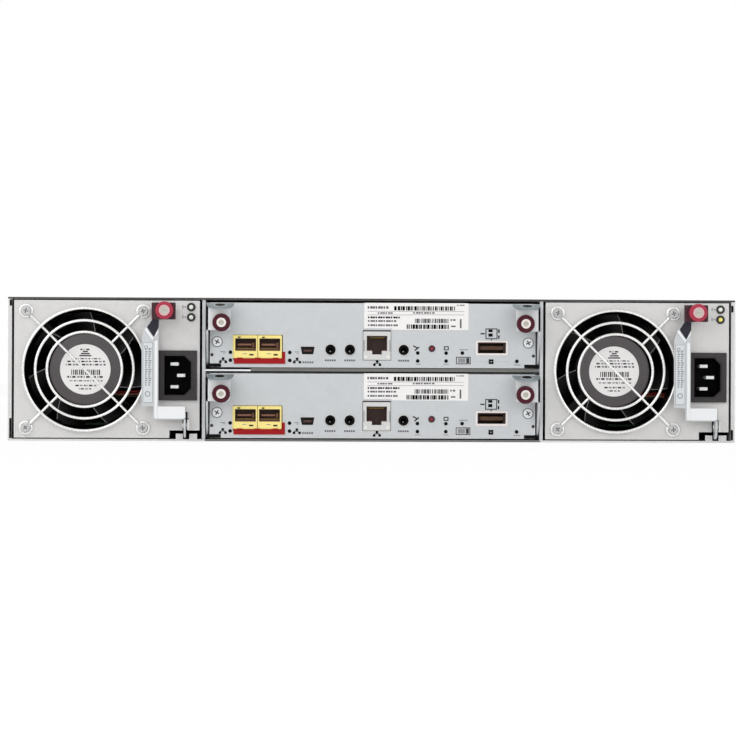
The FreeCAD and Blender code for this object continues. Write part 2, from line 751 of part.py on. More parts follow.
def build_psu_case(name, x):
    """Open-topped case with its face, rear vents, board ribs and latch ear, and a lid between its sides."""
    body = new_body(f"{name}_tray")
    skin = "(psu_body_inset + module_wall)"
    end = f"({MODULE_DEPTH} - module_wall)"
    slab(body, "XZ", [psu_outline("0")], "0", "sheet_metal")
    slab(body, "XZ", [psu_outline("psu_body_inset")], "sheet_metal", MODULE_DEPTH)
    cut(body, "XZ", [psu_outline(skin)], "sheet_metal", end)
    lid_low, lid_high = f"({PSU_TOP} - {skin})", f"({PSU_TOP} - psu_body_inset)"
    lid_outline = rectangle(skin, "sheet_metal", f"psu_width - {skin}", MODULE_DEPTH)
    cut(body, "XY", [lid_outline], lid_low, lid_high)
    lid = new_body(f"{name}_lid")
    slab(lid, "XY", [lid_outline], lid_low, lid_high)
    fan_hole = circle("fan_from_edge", FAN_Z, "fan_opening_radius")
    inlet = rectangle("inlet_from_edge - inlet_body_width / 2 - seat_gap",
                      "inlet_rise - inlet_body_height / 2 - seat_gap",
                      "inlet_from_edge + inlet_body_width / 2 + seat_gap",
                      "inlet_rise + inlet_body_height / 2 + seat_gap")
    cut(body, "XZ", [fan_hole, inlet], "0", "sheet_metal")
    flange_left = f"({from_edge('latch_flange')} - latch_sheet - 3 * seat_gap)"
    flange_right = f"({from_edge('latch_flange')} + 3 * seat_gap)"
    hook_slot = rectangle(flange_left, "psu_notch_height - seat_gap", flange_right,
                          "latch_pivot_rise + latch_flange_depth")
    cut(body, "XZ", [hook_slot], "0", "latch_flange_depth")
    half = "(connector_width / 2 + 2 * seat_gap)"
    tongue = rectangle(f"psu_width / 2 - {half}", "supply_board_rise - 2 * seat_gap",
                       f"psu_width / 2 + {half}",
                       "supply_board_rise + supply_board_thickness + connector_height + 2 * seat_gap")
    vents = [rectangle(f"psu_width / 2 + {step} * connector_width / 2 - connector_height / 2",
                       f"{FAN_Z} - connector_height",
                       f"psu_width / 2 + {step} * connector_width / 2 + connector_height / 2",
                       f"{FAN_Z} + 2 * connector_height") for step in (-1, 0, 1)]
    cut(body, "XZ", [tongue] + vents, end, MODULE_DEPTH)
    ribs = [rectangle(left, "supply_board_start", f"{left} + board_rib", f"{end} - module_wall")
            for left in ("psu_notch_width", "psu_width - 2 * psu_notch_width")]
    slab(body, "XY", ribs, f"{PSU_BOTTOM} + {skin}", "supply_board_rise")
    ear_out = "(latch_pivot_out + 2 * pin_radius)"
    bracket = polygon((f"0 - {ear_out}", "latch_pivot_rise - 2 * pin_radius"),
                      ("sheet_metal", "latch_pivot_rise - 2 * pin_radius"),
                      ("sheet_metal", "latch_pivot_rise + 3 * pin_radius"),
                      ("0", "latch_pivot_rise + 3 * pin_radius"),
                      (f"0 - {ear_out}", "latch_pivot_rise + 2 * pin_radius"))
    slab(body, "YZ", [bracket], flange_right, f"{flange_right} + latch_sheet")
    pivot = circle("0 - latch_pivot_out", "latch_pivot_rise", "pin_radius")
    slab(body, "YZ", [pivot], flange_left, f"{flange_right} + latch_sheet")
    group(name, [body, lid], x, FACE_Y, "0")


def many_sided(radius, sides, x="0", z="0"):
    """A regular outline about a point of the sketch."""
    corners = []
    for step in range(sides):
        angle = 2 * math.pi * (step + 1 / 2) / sides
        corners.append((f"{x} + {radius} * ({math.cos(angle):.6f})",
                        f"{z} + {radius} * ({math.sin(angle):.6f})"))
    return ("polygon", corners)


def build_fan_frame(name, x):
    """Square fan housing with a round duct, a motor mount and four struts."""
    body = new_body(name)
    half = "(fan_size / 2)"
    back = "(sheet_metal + fan_depth)"
    slab(body, "XZ", [rectangle(f"0 - {half}", f"0 - {half}", half, half)], "sheet_metal", back)
    cut(body, "XZ", [many_sided("fan_bore", DUCT_SIDES)], "sheet_metal", back)
    strut = slab(body, "XZ", [rectangle("fan_mount_radius / 2", "0 - fan_strut_width / 2",
                                        "fan_strut_end", "fan_strut_width / 2")],
                 f"{back} - fan_strut_depth", back, turn=45)
    polar(body, strut, "4")
    slab(body, "XZ", [many_sided("fan_mount_radius", MOUNT_SIDES)], f"{back} - fan_strut_depth", back)
    cut(body, "XZ", [circle("0", "0", "shaft_radius + shaft_clearance")],
        f"{back} - fan_strut_depth", back)
    place(body, f"{x} + fan_from_edge", FACE_Y, FAN_Z)
    node(name, body)


def build_fan_rotor(name, x):
    """Impeller: a cup-shaped hub on its shaft, and bent blades that reach the duct."""
    body = new_body(name)
    back = "(rotor_front + rotor_depth)"
    slab(body, "XZ", [many_sided("rotor_hub_radius", RING_SIDES)], "rotor_front", back)
    cut(body, "XZ", [many_sided("(rotor_hub_radius - rotor_wall)", RING_SIDES)],
        "rotor_front + rotor_wall", back)
    slab(body, "XZ", [circle("0", "0", "shaft_radius")], "rotor_front + rotor_wall",
         "sheet_metal + fan_depth - seat_gap")
    start = "(rotor_front + (rotor_depth - blade_depth) / 2)"
    end = f"({start} + blade_depth)"
    middle = f"({start} + blade_depth / 2)"
    half = "(blade_sweep / 2)"
    section = polygon(
        (start, f"0 - {half}"), (f"{start} + blade_thickness", f"0 - {half}"),
        (f"{middle} + blade_camber + blade_thickness / 2", "0 - blade_camber"),
        (end, half), (f"{end} - blade_thickness", half),
        (f"{middle} + blade_camber - blade_thickness / 2", "0 - blade_camber"))
    tip = f"sqrt(rotor_tip_radius ^ 2 - {half} ^ 2)"
    blade = slab(body, "YZ", [section], "rotor_hub_radius - 2 * rotor_wall / 3", tip)
    polar(body, blade, "rotor_blades")
    place(body, f"{x} + fan_from_edge", FACE_Y, FAN_Z)
    node(name, body)


def build_guard(name, x):
    """Finger guard: three rings on four diagonal wires that end in screw eyes."""
    body = new_body(name)
    half = "(guard_wire / 2)"
    lap = "(guard_wire / 8)"
    loop_at = "(fan_screw_pitch / sqrt(2))"
    wire = rectangle("guard_ring_inner - guard_wire", f"0 - {half}", loop_at, half)
    spoke = slab(body, "XZ", [wire], "0 - guard_wire", "0", turn=45)
    polar(body, spoke, "4")
    for ring in ("guard_ring_inner", "guard_ring_middle", "guard_ring_outer"):
        loops = [many_sided(f"({ring} + {half})", RING_SIDES),
                 many_sided(f"({ring} - {half})", RING_SIDES)]
        slab(body, "XZ", loops, f"{lap} - 2 * guard_wire", f"{lap} - guard_wire")
    eye = slab(body, "XZ", [many_sided("guard_eye_radius", EYE_SIDES, loop_at)],
               "0 - guard_wire", "0", turn=45)
    polar(body, eye, "4")
    place(body, f"{x} + fan_from_edge", FACE_Y, FAN_Z)
    node(name, body)


def build_inlet(name, x):
    """Three-pin appliance inlet, its long side upright, keyed on the right."""
    body = new_body(name)
    half_w, half_h = "(inlet_flange_width / 2)", "(inlet_flange_height / 2)"
    slab(body, "XZ", [rectangle(f"0 - {half_w}", f"0 - {half_h}", half_w, half_h)],
         "0 - inlet_flange_thickness", "0")
    chamfer(body, "seat_gap", lambda edge: at(edge, 1, "0 - inlet_flange_thickness"))
    body_w, body_h = "(inlet_body_width / 2)", "(inlet_body_height / 2)"
    slab(body, "XZ", [rectangle(f"0 - {body_w}", f"0 - {body_h}", body_w, body_h)], "0",
         "inlet_body_depth - inlet_flange_thickness")
    w, h = "(inlet_cavity_width / 2)", "(inlet_cavity_height / 2)"
    cavity = polygon((f"0 - {w}", f"0 - {h}"), (f"{w} - inlet_cavity_chamfer", f"0 - {h}"),
                     (w, f"inlet_cavity_chamfer - {h}"), (w, f"{h} - inlet_cavity_chamfer"),
                     (f"{w} - inlet_cavity_chamfer", h), (f"0 - {w}", h))
    floor = "(inlet_cavity_depth - inlet_flange_thickness)"
    cut(body, "XZ", [cavity], "0 - inlet_flange_thickness", floor)
    pins = []
    for x_shift, z_shift in ((-1, 1), (1, 0), (-1, -1)):
        centre_x = f"{x_shift} * inlet_pin_offset"
        centre_z = f"{z_shift} * inlet_pin_pitch / 2"
        pins.append(rectangle(f"{centre_x} - inlet_pin_width / 2", f"{centre_z} - inlet_pin_height / 2",
                              f"{centre_x} + inlet_pin_width / 2", f"{centre_z} + inlet_pin_height / 2"))
    slab(body, "XZ", pins, f"{floor} - inlet_pin_length", floor)
    place(body, f"{x} + inlet_from_edge", FACE_Y, "inlet_rise")
    node(name, body)


def build_heat_sink(name, left, width, start, length, base, height, fin_count):
    """Extruded heat sink: a base plate, and upright fins spread over its width."""
    sink = new_body(name)
    end = f"{start} + {length}"
    slab(sink, "XY", [rectangle(left, start, f"{left} + {width}", end)], base, f"{base} + sink_base")
    fins = []
    for step in range(fin_count):
        fin = f"{left} + {step} * ({width} - sink_fin) / {fin_count - 1}"
        fins.append(rectangle(fin, start, f"{fin} + sink_fin", end))
    slab(sink, "XY", fins, f"{base} + sink_base", f"{base} + {height}")
    return sink


def build_supply_board(name, x):
    """Power board with its transformer, bulk capacitors and finned heat sink."""
    board = new_body(f"{name}_panel")
    low, top = "supply_board_rise", "(supply_board_rise + supply_board_thickness)"
    margin = "(2 * psu_body_inset + module_wall)"
    end = f"({MODULE_DEPTH} - 2 * module_wall)"
    slab(board, "XY", [rectangle(margin, "supply_board_start", f"psu_width - {margin}", end)], low, top)
    edge = rectangle("psu_width / 2 - connector_width / 2", end,
                     "psu_width / 2 + connector_width / 2", MODULE_DEPTH)
    slab(board, "XY", [edge], low, top)
    transformer = new_body(f"{name}_transformer")
    start = f"({MODULE_DEPTH} - transformer_from_end)"
    block = rectangle("transformer_x", start, "transformer_x + transformer_width",
                      f"{start} + transformer_length")
    slab(transformer, "XY", [block], top, f"{top} + transformer_height")
    sink = build_heat_sink(f"{name}_heat_sink", "supply_sink_x", "supply_sink_width",
                           f"({MODULE_DEPTH} - supply_sink_from_end)", "supply_sink_length",
                           top, "supply_sink_height", SUPPLY_FINS)
    can = new_body(f"{name}_capacitor")
    can_y = f"({MODULE_DEPTH} - supply_can_from_end)"
    slab(can, "XY", [many_sided("supply_can_radius", KNOB_SIDES, "supply_can_x", can_y)], top,
         f"{top} + supply_can_height")
    group(name, [board, transformer, sink, can], x, FACE_Y, "0")


def build_latch(name, x):
    """Bent sheet latch: pull arm, link under the inlet, pivot flange and screw plate with grip."""
    metal = new_body(f"{name}_arm")
    front, back = "(0 - latch_standoff)", "(latch_sheet - latch_standoff)"
    plate_low, plate_high = f"({COVER_UNDER} - latch_plate_low)", f"({COVER_UNDER} - latch_plate_high)"
    left, right = from_edge("latch_arm_inner"), from_edge("latch_arm_outer")
    plate_left, plate_right = from_edge("latch_plate_left"), from_edge("latch_plate_right")
    foot, flange = from_edge("latch_foot_left"), from_edge("latch_flange")
    outline = polygon(
        (left, "latch_link_top"), (foot, "latch_link_top"), (foot, "latch_foot"), (flange, "latch_foot"),
        (flange, "latch_link_top"), (right, "latch_link_top"), (right, f"{plate_low} - 2 * latch_grip"),
        (f"{right} + latch_grip", plate_low), (plate_right, plate_low), (plate_right, plate_high),
        (plate_left, plate_high), (plate_left, plate_low),
        (f"{left} + latch_grip", "latch_arm_top + 3 * latch_grip"), (left, "latch_arm_top"))
    slab(metal, "XZ", [outline], front, back)
    screw_x, screw_z = from_edge("latch_screw_from_edge"), f"({COVER_UNDER} - latch_screw_drop)"
    hole = circle(screw_x, screw_z, "screw_shank_radius + 2 * shaft_clearance")
    cut(metal, "XZ", [hole], front, back)
    axis = "(0 - latch_pivot_out)"
    side = polygon(
        (front, "latch_link_top"), (front, "latch_pivot_rise - pin_radius"),
        (f"{axis} - latch_hook_reach / 2", "latch_pivot_rise - latch_hook_drop + sheet_metal"),
        (f"{axis} + latch_hook_reach / 2", "latch_pivot_rise - latch_hook_drop"),
        (f"{axis} + latch_hook_reach", "latch_pivot_rise - 4 * pin_radius"),
        (f"{axis} + latch_hook_reach", "latch_pivot_rise + 2 * pin_radius"),
        (f"{back} + latch_sheet", "latch_link_top"))
    slab(metal, "YZ", [side], f"{flange} - latch_sheet", flange)
    pivot = circle(axis, "latch_pivot_rise", "pin_radius + shaft_clearance")
    cut(metal, "YZ", [pivot], f"{flange} - latch_sheet", flange)
    grip = new_body(f"{name}_grip")
    slab(grip, "XZ", [rectangle(plate_left, plate_low, plate_right, plate_high), hole],
         f"{front} - latch_grip", front)
    chamfer(grip, "latch_grip / 4", lambda edge: at(edge, 1, f"{front} - latch_grip")
            and edge.Curve.TypeId == "Part::GeomLine")
    group(name, [metal, grip], x, FACE_Y, "0")


def build_thumbscrew(name, seat, x, y, z):
    """Captive screw: a head with finger flats and a raised cap, and a plain shank."""
    body = new_body(name)
    back = f"(0 - {seat} - seat_gap)"
    front = f"({back} - screw_head_length)"
    slab(body, "XZ", [many_sided("screw_head_radius", KNOB_SIDES)], front, back)
    slab(body, "XZ", [many_sided("screw_cap_radius", KNOB_SIDES)], f"{front} - screw_cap_proud", front)
    slab(body, "XZ", [circle("0", "0", "screw_shank_radius")], back, "0 - seat_gap")
    place(body, x, y, z)
    node(name, body)


def build_psu(name, x):
    build_psu_case(f"{name}_case", x)
    build_supply_board(f"{name}_power_board", x)
    build_fan_frame(f"{name}_fan_frame", x)
    build_fan_rotor(f"{name}_fan_rotor", x)
    build_guard(f"{name}_fan_guard", x)
    build_inlet(f"{name}_ac_inlet", x)
    build_latch(f"{name}_latch", x)
    build_thumbscrew(f"{name}_thumbscrew", "(latch_standoff + latch_grip)",
                     f"{x} + {from_edge('latch_screw_from_edge')}", FACE_Y,
                     f"{COVER_UNDER} - latch_screw_drop")


# ---------------------------------------------------------------- controller module

JACKS = ("(0 - jack_far_left)", "(0 - jack_near_left)", "jack_right")
CONSOLE_LOW = f"({LOGIC_TOP} + console_sill)"


def sfp_left(step):
    return f"(0 - sfp_left + {step} * sfp_pitch)"


def build_controller_case(name, z):
    """Faceplate with its cut-outs on a sheet-metal box that is open towards the midplane."""
    body = new_body(f"{name}_case")
    slab(body, "XZ", [rectangle(f"0 - {FACE_HALF}", "0", FACE_HALF, FACE_HEIGHT)], "0", "sheet_metal")
    half = f"({FACE_HALF} - controller_body_inset)"
    low, high = "controller_body_end", f"({FACE_HEIGHT} - controller_body_end)"
    slab(body, "XZ", [rectangle(f"0 - {half}", low, half, high)], "sheet_metal", MODULE_DEPTH)
    cut(body, "XZ", [rectangle(f"module_wall - {half}", f"{low} + module_wall",
                               f"{half} - module_wall", f"{high} - module_wall")],
        "sheet_metal", MODULE_DEPTH)
    holes = [rectangle(f"{sfp_left(0)} - seat_gap", f"{LOGIC_TOP} - seat_gap",
                       f"{sfp_left(1)} + sfp_width + seat_gap", "sfp_top + seat_gap"),
             rectangle("0 - network_left - seat_gap", f"{LOGIC_TOP} - seat_gap",
                       "network_width - network_left + seat_gap", "network_top + seat_gap"),
             rectangle("sas_centre - sas_width / 2 - seat_gap", f"{LOGIC_TOP} - seat_gap",
                       "sas_centre + sas_width / 2 + seat_gap", "sas_top + seat_gap"),
             rectangle("0 - console_centre - console_width / 2 - seat_gap", f"{LOGIC_TOP} - seat_gap",
                       "0 - console_centre + console_width / 2 + seat_gap", "console_top + seat_gap")]
    holes += [many_sided("(jack_nose_radius + seat_gap)", KNOB_SIDES, x, "jack_rise") for x in JACKS]
    cut(body, "XZ", holes, "0", "sheet_metal")
    ribs = [rectangle(f"{sign} * ({half} - 3 * board_rib)", "2 * board_rib",
                      f"{sign} * ({half} - 4 * board_rib)", f"{MODULE_DEPTH} - 2 * module_wall")
            for sign in (-1, 1)]
    slab(body, "XY", ribs, f"{low} + module_wall", "logic_board_rise")
    pivots = circle("lever_pivot_in", "lever_pivot_rise", "pin_radius")
    slab(body, "YZ", [pivots], half, f"{BAY_HALF} - lever_side_gap + seat_gap / 3")
    slab(body, "YZ", [pivots], f"0 - {BAY_HALF} + lever_side_gap - seat_gap / 3", f"0 - {half}")
    place(body, "0", FACE_Y, z)
    node(f"{name}_case", body)


def build_logic_board(name, z):
    """Logic board with its processor heat sink, memory module and capacitor pack."""
    board = new_body(f"{name}_panel")
    low, top = "logic_board_rise", LOGIC_TOP
    half = f"({FACE_HALF} - controller_body_inset - module_wall - logic_board_margin)"
    outline = rectangle(f"0 - {half}", "sheet_metal + seat_gap", half, MODULE_DEPTH)
    slab(board, "XY", [outline], low, top)
    sink = build_heat_sink(f"{name}_heat_sink", "(0 - logic_sink_size / 2)", "logic_sink_size",
                           f"({MODULE_DEPTH} - logic_sink_from_end)", "logic_sink_size",
                           top, "logic_sink_height", LOGIC_FINS)
    memory = new_body(f"{name}_memory")
    start = f"({MODULE_DEPTH} - memory_from_end)"
    stick = rectangle("memory_x", start, "memory_x + memory_width", f"{start} + memory_length")
    slab(memory, "XY", [stick], top, f"{top} + memory_height")
    pack = new_body(f"{name}_capacitor_pack")
    start = f"({MODULE_DEPTH} - pack_from_end)"
    block = rectangle("0 - pack_x", start, "pack_width - pack_x", f"{start} + pack_length")
    slab(pack, "XY", [block], top, f"{top} + pack_height")
    group(name, [board, sink, memory, pack], "0", FACE_Y, z)


def build_ports(name, z):
    """Every connector of the faceplate, each soldered to the logic board."""
    members = []
    for step in (0, 1):
        cage = new_body(f"{name}_sfp_{step + 1}")
        left = sfp_left(step)
        slab(cage, "XZ", [rectangle(left, LOGIC_TOP, f"{left} + sfp_width", "sfp_top")],
             "0 - sfp_proud", "sfp_depth")
        mouth = rectangle(f"{left} + sfp_opening_inset", "sfp_opening_low",
                          f"{left} + sfp_opening_inset + sfp_opening_width", "sfp_opening_high")
        cut(cage, "XZ", [mouth], "0 - sfp_proud", "sfp_depth - 4 * module_wall")
        members.append(cage)
    strip = new_body(f"{name}_strip")
    slab(strip, "XZ", [rectangle(f"{sfp_left(0)} - seat_gap", "sfp_strip_low",
                                 f"{sfp_left(1)} + sfp_width + sfp_strip_low", f"{LOGIC_TOP} - seat_gap")],
         "0 - sfp_proud", "0")
    members.append(strip)
    network = new_body(f"{name}_network")
    left = "(0 - network_left)"
    slab(network, "XZ", [rectangle(left, LOGIC_TOP, f"{left} + network_width", "network_top")],
         "0 - sfp_proud / 2", "network_depth")
    centre = f"({left} + network_width / 2)"
    half, key = "(network_opening_width / 2)", "(network_key_width / 2)"
    shoulder = "(network_opening_low + network_key_height)"
    mouth = polygon((f"{centre} - {half}", "network_opening_high"), (f"{centre} - {half}", shoulder),
                    (f"{centre} - {key}", shoulder), (f"{centre} - {key}", "network_opening_low"),
                    (f"{centre} + {key}", "network_opening_low"), (f"{centre} + {key}", shoulder),
                    (f"{centre} + {half}", shoulder), (f"{centre} + {half}", "network_opening_high"))
    cut(network, "XZ", [mouth], "0 - sfp_proud / 2", "network_depth - 2 * module_wall")
    members.append(network)
    sas = new_body(f"{name}_sas")
    slab(sas, "XZ", [rectangle("sas_centre - sas_width / 2", LOGIC_TOP,
                               "sas_centre + sas_width / 2", "sas_top")], "0 - sfp_proud", "sas_depth")
    cut(sas, "XZ", [rectangle("sas_centre - sas_opening_width / 2", "sas_opening_low",
                              "sas_centre + sas_opening_width / 2", "sas_opening_high")],
        "0 - sfp_proud", "sas_depth - 4 * module_wall")
    members.append(sas)
    console = new_body(f"{name}_console")
    left, right = "(0 - console_centre - console_width / 2)", "(0 - console_centre + console_width / 2)"
    slab(console, "XZ", [rectangle(left, LOGIC_TOP, right, "console_top")], "0 - sfp_proud / 2",
         "console_depth")
    mouth = polygon((f"{left} + sfp_proud", "console_top - sfp_proud"),
                    (f"{left} + 2 * sfp_proud", CONSOLE_LOW), (f"{right} - 2 * sfp_proud", CONSOLE_LOW),
                    (f"{right} - sfp_proud", "console_top - sfp_proud"))
    cut(console, "XZ", [mouth], "0 - sfp_proud / 2", "console_depth - 2 * module_wall")
    members.append(console)
    for index, x in enumerate(JACKS, 1):
        jack = new_body(f"{name}_jack_{index}")
        slab(jack, "XZ", [rectangle(f"{x} - jack_block / 2", LOGIC_TOP, f"{x} + jack_block / 2",
                                    "jack_rise + jack_nose_radius")], "sheet_metal + seat_gap", "jack_depth")
        slab(jack, "XZ", [many_sided("jack_nose_radius", KNOB_SIDES, x, "jack_rise")],
             "0 - sfp_proud / 2", "sheet_metal + seat_gap")
        members.append(jack)
    group(name, members, "0", FACE_Y, z)


def build_lever(name, side, z):
    """Ejector lever: side arm on its pivot, screw plate, and a finger tab that slopes outwards."""
    body = new_body(name)
    inner = f"{-side} * lever_side_gap"
    outer = f"{-side} * (lever_side_gap + lever_sheet)"
    low, high = (inner, outer) if side < 0 else (outer, inner)
    front, back = "(0 - lever_standoff)", "(lever_sheet - lever_standoff)"
    top = "lever_plate_high"
    arm = polygon(
        (front, top), (front, "lever_plate_low - 2 * lever_sheet"),
        ("lever_pivot_in - lever_toe / 2", "lever_pivot_rise - lever_heel"),
        ("lever_pivot_in + lever_toe / 2", "lever_pivot_rise - lever_heel"),
        ("lever_pivot_in + lever_toe", "lever_pivot_rise - lever_toe / 2"),
        ("lever_pivot_in + lever_toe", "lever_pivot_rise + lever_toe / 2"),
        ("0", "lever_plate_low - 2 * lever_sheet"), (back, top))
    slab(body, "YZ", [arm], low, high)
    axis = circle("lever_pivot_in", "lever_pivot_rise", "pin_radius + shaft_clearance")
    cut(body, "YZ", [axis], low, high)
    hole = circle(f"{-side} * lever_screw_in", "lever_screw_rise", "screw_shank_radius + 2 * shaft_clearance")
    plate = rectangle(inner, "lever_plate_low", f"{-side} * lever_plate_width", top)
    slab(body, "XZ", [plate, hole], front, back)
    tip = f"({front} - lever_tab_reach)"
    fall = f"({top} - lever_tab_drop)"
    tab = polygon((back, f"{top} - lever_sheet"), (front, f"{top} - lever_sheet"),
                  (tip, f"{fall} - lever_sheet"), (tip, fall), (front, top), (back, top))
    tab_edge = f"{-side} * lever_tab_width"
    tab_low, tab_high = (inner, tab_edge) if side < 0 else (tab_edge, inner)
    slab(body, "YZ", [tab], tab_low, tab_high)
    chamfer(body, "lever_tab_corner", lambda edge: at(edge, 1, tip) and along(edge, 2))
    place(body, f"{side} * {BAY_HALF}", FACE_Y, z)
    node(name, body)


def build_controller(name, z):
    build_controller_case(name, z)
    build_logic_board(f"{name}_board", z)
    build_ports(f"{name}_ports", z)
    for side, word in ((-1, "left"), (1, "right")):
        build_lever(f"{name}_{word}_lever", side, z)
        build_thumbscrew(f"{name}_{word}_thumbscrew", "lever_standoff",
                         f"{side} * ({BAY_HALF} - lever_screw_in)", FACE_Y, f"{z} + lever_screw_rise")


build_tub()
build_cover()
build_ears()
build_cage()
build_midplane()
build_disks()
build_bay_frame()
build_psu("psu_left", PSU_LEFT_X)
build_psu("psu_right", PSU_RIGHT_X)
build_controller("controller_a", CONTROLLER_HIGH)
build_controller("controller_b", CONTROLLER_LOW)
doc.recompute()

# Every feature must have computed, every cut must have removed material
for thing in doc.Objects:
    for word in ("Invalid", "Error"):
        if word in thing.State:
            raise RuntimeError(f"{thing.Label} is {thing.State}")
for feature, before in CUTS:
    if feature.Shape.Volume > before.Shape.Volume - 1e-3:
        raise RuntimeError(f"{feature.Label} cuts nothing")
for name, thing in NODES.items():
    if thing.Shape.isNull() or not thing.Shape.isValid():
        raise RuntimeError(f"{name} has no valid shape")

os.makedirs("parts", exist_ok=True)
for name, thing in NODES.items():
    thing.Shape.exportStep(f"parts/{name}.step")
    print(name, len(thing.Shape.Solids), "solids", round(thing.Shape.Volume / 1000, 2), "cm3")
print(len(NODES), "nodes")
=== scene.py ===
import json
import math
import random

import bmesh
import bpy
from mathutils import Matrix, Vector, geometry


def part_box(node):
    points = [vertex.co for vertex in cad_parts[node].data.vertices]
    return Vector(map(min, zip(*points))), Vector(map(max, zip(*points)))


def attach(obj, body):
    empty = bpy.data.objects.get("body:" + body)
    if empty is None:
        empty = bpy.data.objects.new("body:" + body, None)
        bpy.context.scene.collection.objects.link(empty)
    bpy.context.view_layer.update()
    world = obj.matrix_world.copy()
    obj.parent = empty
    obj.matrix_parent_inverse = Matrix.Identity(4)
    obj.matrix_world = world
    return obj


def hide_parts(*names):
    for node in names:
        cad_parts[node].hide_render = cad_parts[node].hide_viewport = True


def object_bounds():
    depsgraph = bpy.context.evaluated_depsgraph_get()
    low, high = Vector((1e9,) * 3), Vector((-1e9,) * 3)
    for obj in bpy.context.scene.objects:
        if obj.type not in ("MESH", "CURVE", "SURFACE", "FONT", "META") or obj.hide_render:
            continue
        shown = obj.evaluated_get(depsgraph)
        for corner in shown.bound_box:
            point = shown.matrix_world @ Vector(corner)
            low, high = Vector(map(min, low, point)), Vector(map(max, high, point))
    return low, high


# Looks of a 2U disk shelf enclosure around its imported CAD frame.
# The frame is in metres: +Z up, the rear panel faces -Y. Pieces are drawn in millimetres from
# a place that the frame gives, and scaled as they are made.

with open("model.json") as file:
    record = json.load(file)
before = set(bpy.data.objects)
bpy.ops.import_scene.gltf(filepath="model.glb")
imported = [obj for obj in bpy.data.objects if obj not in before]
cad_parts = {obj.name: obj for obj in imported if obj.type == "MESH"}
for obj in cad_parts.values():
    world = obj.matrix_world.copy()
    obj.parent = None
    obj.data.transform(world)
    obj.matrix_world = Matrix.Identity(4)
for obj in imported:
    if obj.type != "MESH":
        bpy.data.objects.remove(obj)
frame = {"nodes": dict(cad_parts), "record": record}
CAD_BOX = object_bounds()
MM = 0.001
FLAT = math.radians(0.5)
SCENE = bpy.context.scene


# ---------------- finishes

def srgb(red, green, blue):
    """A colour written as 0-255 sRGB, as the linear colour that the nodes take."""
    shares = [value / 255 for value in (red, green, blue)]
    return (*[share / 12.92 if share <= 0.04045 else ((share + 0.055) / 1.055) ** 2.4
              for share in shares], 1)


def fed(tree, node, inputs):
    """A node whose inputs are given values, or the sockets that feed them."""
    for name, value in inputs.items():
        if isinstance(value, bpy.types.NodeSocket):
            tree.links.new(value, node.inputs[name])
        else:
            node.inputs[name].default_value = value
    return node


def added(tree, kind, inputs=None, **settings):
    """A new node of a tree, with its settings and its inputs."""
    node = tree.nodes.new(f"ShaderNode{kind}")
    for name, value in settings.items():
        setattr(node, name, value)
    return fed(tree, node, inputs or {})


def mixed(tree, factor, low, high):
    """A colour that goes from low to high with a 0-1 socket."""
    return added(tree, "Mix", {0: factor, 6: low, 7: high}, data_type="RGBA").outputs[2]


def spread(tree, value, low, high, from_low=0.0, from_high=1.0):
    """A 0-1 socket carried over to another range."""
    return added(tree, "MapRange", {"From Min": from_low, "From Max": from_high, "To Min": low,
                                    "To Max": high, "Value": value}).outputs["Result"]


def shaded(tone, share):
    """A colour made darker or lighter."""
    return tuple(channel * share for channel in tone[:3]) + (1,)


NOISE_LOW, NOISE_HIGH = 0.3, 0.7
CRYSTAL = 5


def finish(name, tone, rough, metal=0.0, cell=0.3, vary=0.12, rough_vary=0.08, bump=0.15,
           spangle=0, edge_highlight=0, coat=0, gloss=0.5):
    """A procedural finish: fine noise moves its colour, roughness and height, zinc crystals show
    as spangle, and a painted highlight brightens the outer edges. tone is 0-255 sRGB, cell the grain in mm."""
    tone = srgb(*tone)
    made = bpy.data.materials.new(name)
    made.use_nodes = True
    tree = made.node_tree
    where = added(tree, "TexCoord").outputs["Object"]
    grain = added(tree, "TexNoise", {"Scale": 1 / (cell * MM), "Detail": 4, "Vector": where})
    fine = grain.outputs["Fac"]
    broad = added(tree, "TexNoise", {"Scale": 1 / (40 * cell * MM), "Vector": where})
    speckle = spread(tree, fine, 0, 1, NOISE_LOW, NOISE_HIGH)
    colour = mixed(tree, speckle, shaded(tone, 1 - vary), shaded(tone, 1 + vary))
    patches = spread(tree, broad.outputs["Fac"], 0, vary * 4, NOISE_LOW, NOISE_HIGH)
    colour = mixed(tree, patches, colour, shaded(tone, 1 - 2 * vary))
    if spangle:
        crystal = added(tree, "TexVoronoi", {"Scale": 1 / (CRYSTAL * MM), "Vector": where})
        grey = added(tree, "SeparateColor", {"Color": crystal.outputs["Color"]})
        colour = mixed(tree, spread(tree, grey.outputs[0], 0, spangle), colour, shaded(tone, 0.72))
    # Painted highlight: the outer edges, found by pointiness, are made lighter.
    if edge_highlight:
        edge = added(tree, "NewGeometry").outputs["Pointiness"]
        colour = mixed(tree, spread(tree, edge, 0, edge_highlight, 0.52, 0.6), colour, shaded(tone, 1.35))
    roughness = spread(tree, fine, max(rough - rough_vary, 0.03), rough + rough_vary, NOISE_LOW, NOISE_HIGH)
    relief = added(tree, "Bump", {"Strength": bump, "Distance": 0.02 * MM * cell, "Height": fine})
    fed(tree, tree.nodes["Principled BSDF"],
        {"Base Color": colour, "Metallic": metal, "Roughness": roughness, "Coat Weight": coat,
         "Specular IOR Level": gloss, "Normal": relief.outputs["Normal"]})
    return made


